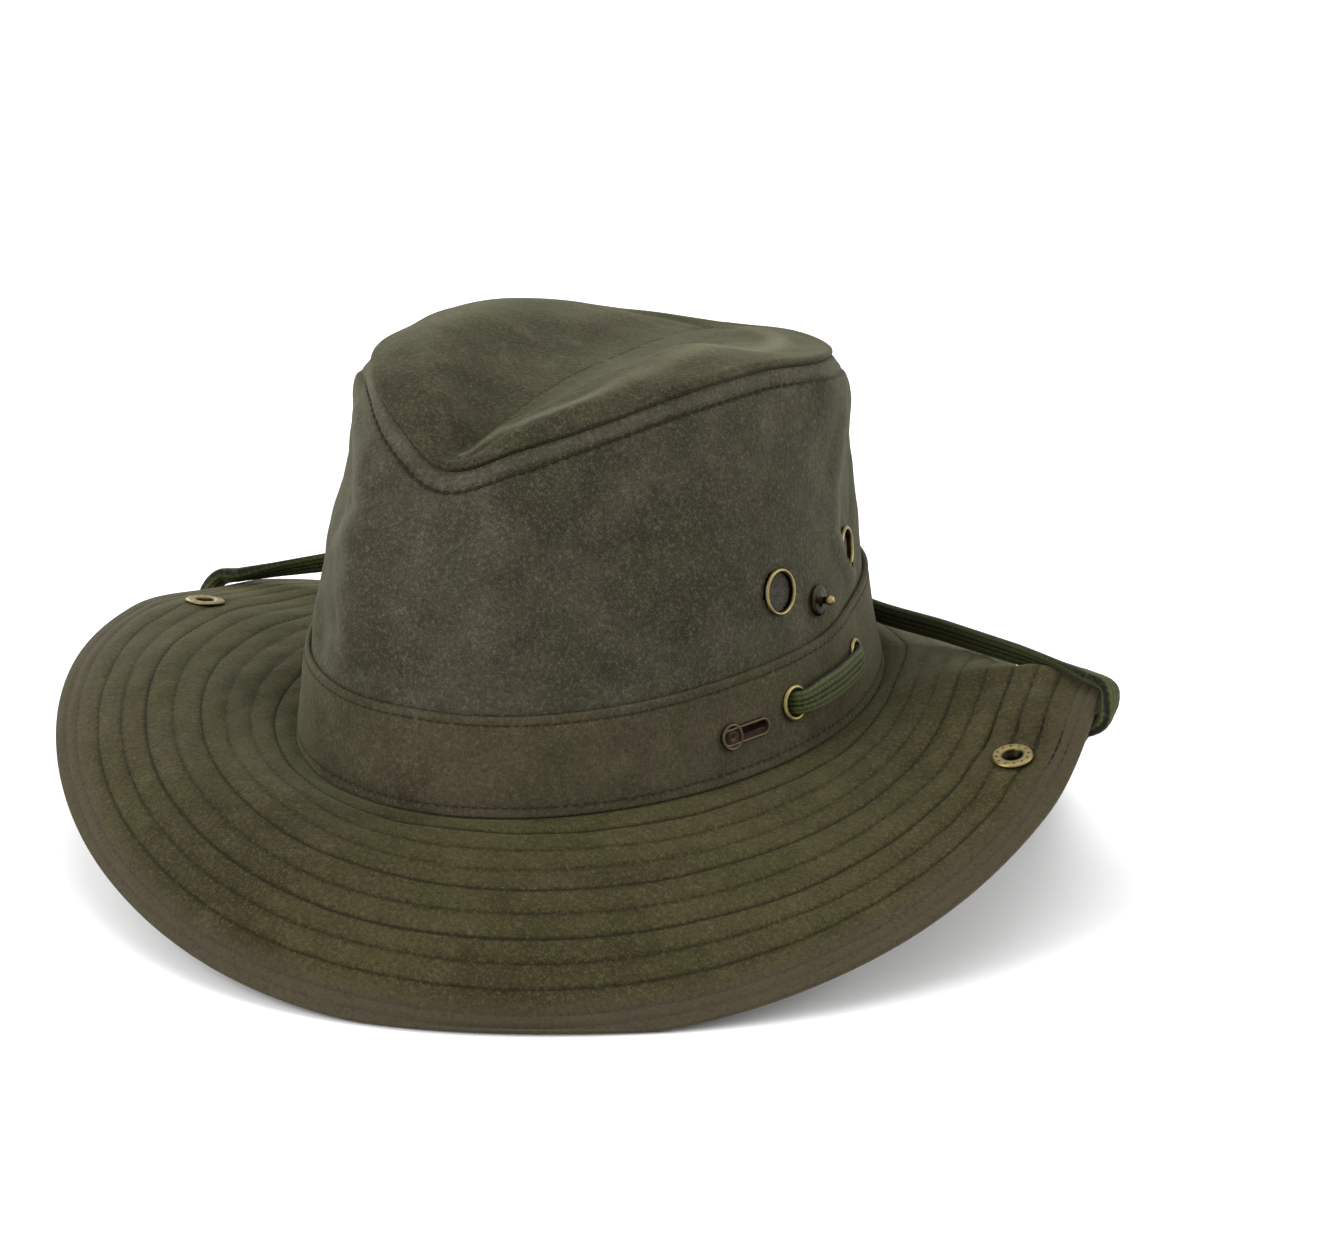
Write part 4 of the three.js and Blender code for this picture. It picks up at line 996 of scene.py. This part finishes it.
EYELET_RADIUS = 5.5
for name, place in eyelets.items():
    shape = riveted(EYELET_HOLE, EYELET_TUBE, EYELET_RADIUS, WALL_INSET)
    piece = turned(name + "_ring", shape, place, axis=2)
    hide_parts(name)

# Vents: a brass ring pressed into the crown's wall on each side, front and back. It holds a fine
# woven screen over the hole, to let air in.
VENT_RADIUS = 7
SCREEN_RADIUS = 5.9
SCREEN_PITCH = 0.62
SCREEN_WIRE = 0.21
SCREEN_SINK = 0.6
screen = Recipe("screen_wire", Metallic=0.2, Roughness=0.6)
tarnish = screen.noise(600, 3)
dull, bare = (0.03, 0.0255, 0.016, 1), (0.065, 0.056, 0.034, 1)
screen.feed("Base Color", screen.mix(tarnish.ramp(0.3, 0.7), dull, bare))
screen.bump(tarnish, 0.0001)
for name, (axes, centre) in vents.items():
    ring = riveted(VENT_HOLE, VENT_TUBE, VENT_RADIUS, CROWN_CLOTH)
    piece = turned(name + "_ring", ring, (axes, centre), axis=2)
    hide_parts(name)
    points, faces = [], []
    for direction in (0, 1):
        for offset in np.arange(-9, 10) * SCREEN_PITCH:
            half = math.sqrt(SCREEN_RADIUS ** 2 - offset ** 2)
            steps = np.arange(-half, half + 0.1, SCREEN_PITCH / 2)
            base = len(points)
            for s in steps:
                over = 0.12 * math.cos(math.pi * s / SCREEN_PITCH)
                over = over * (-1) ** (round(offset / SCREEN_PITCH) + direction)
                for k in range(4):
                    side = SCREEN_WIRE * math.cos(math.pi * k / 2)
                    up = SCREEN_WIRE * math.sin(math.pi * k / 2) + over - SCREEN_SINK
                    local = [s, offset + side, up] if direction == 0 else [offset + side, s, up]
                    points.append(centre + axes @ np.array(local))
            for j in range(len(steps) - 1):
                for k in range(4):
                    a, b = base + 4 * j + k, base + 4 * j + (k + 1) % 4
                    faces.append((a, b, b + 4, a + 4))
    make(name + "_screen", points, faces, screen.material)

# Studs: the ball half of a snap on each side of the crown, turned from brass. Its round flange
# lies on the wall, and a post through the cloth holds the washer inside.
stud_profile = [
    (0.01, 6.0, 1), (0.7, 5.85, 1), (1.25, 5.4, 1), (1.6, 4.4, 0.8), (1.25, 3.5, 0.4), (1.0, 2.8, 0.1),
    (1.1, 1.9, 0), (2.2, 1.5, 0), (3.6, 1.6, 0), (4.3, 1.45, 0.35), (4.7, 1.0, 0.3), (4.7, 0.6, 0.1),
    (1.0, 0.6, 0), (1.0, -2.2, 0), (4.7, -2.2, 0.3), (4.7, -3.1, 0.5), (0.01, -3.1, 0.5),
]
for name, place in studs.items():
    piece = turned(name + "_ball", stud_profile, place, axis=2)
    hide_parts(name)

# Snaps: the socket half on each side of the brim, pressed from brass sheet. It has a dark mouth
# and a ring of dimples, and it is riveted through both layers of the brim.
SNAP_DIMPLES = 12
snap_profile = [
    (2.1, 0.0, 0), (2.4, 0.1, 0), (2.8, 0.5, 0), (3.1, 1.3, 0.6), (3.9, 1.45, 1),
    (DIMPLES_OUT, 1.5, 0.9), (5.3, 1.48, 1), (5.7, 1.4, 1), (6.2, 1.0, 0.7), (6.2, 0.6, 0.2),
    (3.3, 0.6, 0), (3.3, -3.2, 0), (6.2, -3.2, 0.3), (6.2, -4.1, 0.5), (2.1, -4.1, 0.5),
]
for side, place in snap_places.items():
    piece = turned(f"brim_snap_{side}_socket", snap_profile, place, axis=1, dimples=SNAP_DIMPLES)
    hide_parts(f"brim_snap_{side}")

# Badge: a plain bar pin on the left of the band, with a round disc at one end. It is cast in a
# dark bronze and lies flat on the cloth.
BADGE_ANGLE = 66.5
BADGE_UP = 13
BADGE_LENGTH = 19
BADGE_WIDTH = 5.4
DISC_MIDDLE = -5.4
bronze = metal("dark_bronze", (0.012, 0.008, 0.005, 1), (0.085, 0.06, 0.038, 1), 0.4)
axes, centre = on_face(band_face, BADGE_ANGLE, BADGE_UP / BAND_HEIGHT)
bar_steps = 64
spin = np.arange(bar_steps) * 2 * math.pi / bar_steps
straight_run = BADGE_LENGTH / 2 - BADGE_WIDTH / 2


def bar(radius, height, shine, run=straight_run, middle=0.0):
    x = radius * np.cos(spin) + run * np.sign(np.round(np.cos(spin), 6)) + middle
    local = np.stack([x, radius * np.sin(spin), 0 * spin + height], 1)
    return local @ axes.T + centre, np.full(bar_steps, shine)


# Each level: radius, height, brightness
bar_levels = [
    (2.7, 0.6, 0.2), (2.7, 1.4, 0.6), (2.5, 1.7, 1), (2.0, 1.65, 0.9), (1.8, 1.35, 0.3),
    (0.01, 1.4, 0.4), (0.01, 0.6, 0.2),
]
disc_levels = [
    (3.9, 0.6, 0.2), (4.1, 1.3, 0.6), (3.8, 1.8, 1), (3.3, 1.75, 0.8), (3.0, 1.45, 0.3),
    (1.6, 1.7, 0.5), (0.01, 1.8, 0.6), (0.01, 0.6, 0.2),
]
bar_rings, bar_worn = zip(*(bar(*level) for level in bar_levels))
disc_rings, disc_worn = zip(*(bar(*level, run=0.0, middle=DISC_MIDDLE) for level in disc_levels))
badge_faces = [grid_faces(len(rings), bar_steps, close=True)[0] for rings in (bar_rings, disc_rings)]
badge_faces[1] = badge_faces[1] + len(bar_rings) * bar_steps
badge_points = np.concatenate([*bar_rings, *disc_rings])
badge_worn = np.concatenate([*bar_worn, *disc_worn])
badge = make("band_badge_bar", badge_points, np.concatenate(badge_faces), bronze, worn=badge_worn)
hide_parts("band_badge")

# Floor and light: a wide pale floor, white surroundings and four soft lights
FLOOR_REACH = 12
floor_recipe = Recipe("floor", Roughness=0.9)
cloud = floor_recipe.noise(2, 2)
floor_recipe.feed("Base Color", floor_recipe.mix(cloud, (0.88, 0.88, 0.88, 1), (0.92, 0.92, 0.92, 1)))
floor_mesh = bpy.data.meshes.new("floor")
corners = [(FLOOR_REACH * x, FLOOR_REACH * y, 0) for x, y in ((-1, -1), (1, -1), (1, 1), (-1, 1))]
floor_mesh.from_pydata(corners, [], [(0, 1, 2, 3)])
floor_mesh.materials.append(floor_recipe.material)
floor = bpy.data.objects.new("floor", floor_mesh)
bpy.context.collection.objects.link(floor)
floor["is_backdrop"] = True

world = bpy.data.worlds.new("studio")
world.use_nodes = True
world.node_tree.nodes["Background"].inputs["Color"].default_value = (1, 1, 1, 1)
world.node_tree.nodes["Background"].inputs["Strength"].default_value = 1.0
bpy.context.scene.world = world
bpy.context.scene.view_settings.view_transform = "Standard"
# Each light: name, place in metres, size, power
for name, place, size, power in (
    ("key", (-0.7, -1.5, 1.0), 1.0, 24),
    ("top", (0.1, 0.1, 1.7), 1.4, 10),
    ("left_rim", (-1.4, 0.9, 0.7), 0.8, 9),
    ("right_rim", (1.4, 0.9, 0.7), 0.8, 15),
):
    light = bpy.data.objects.new(name, bpy.data.lights.new(name, "AREA"))
    light.data.size = size
    light.data.energy = power
    light.location = place
    toward = -light.location.normalized()
    light.rotation_euler = toward.to_track_quat("-Z", "Y").to_euler()
    bpy.context.collection.objects.link(light)

low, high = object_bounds()
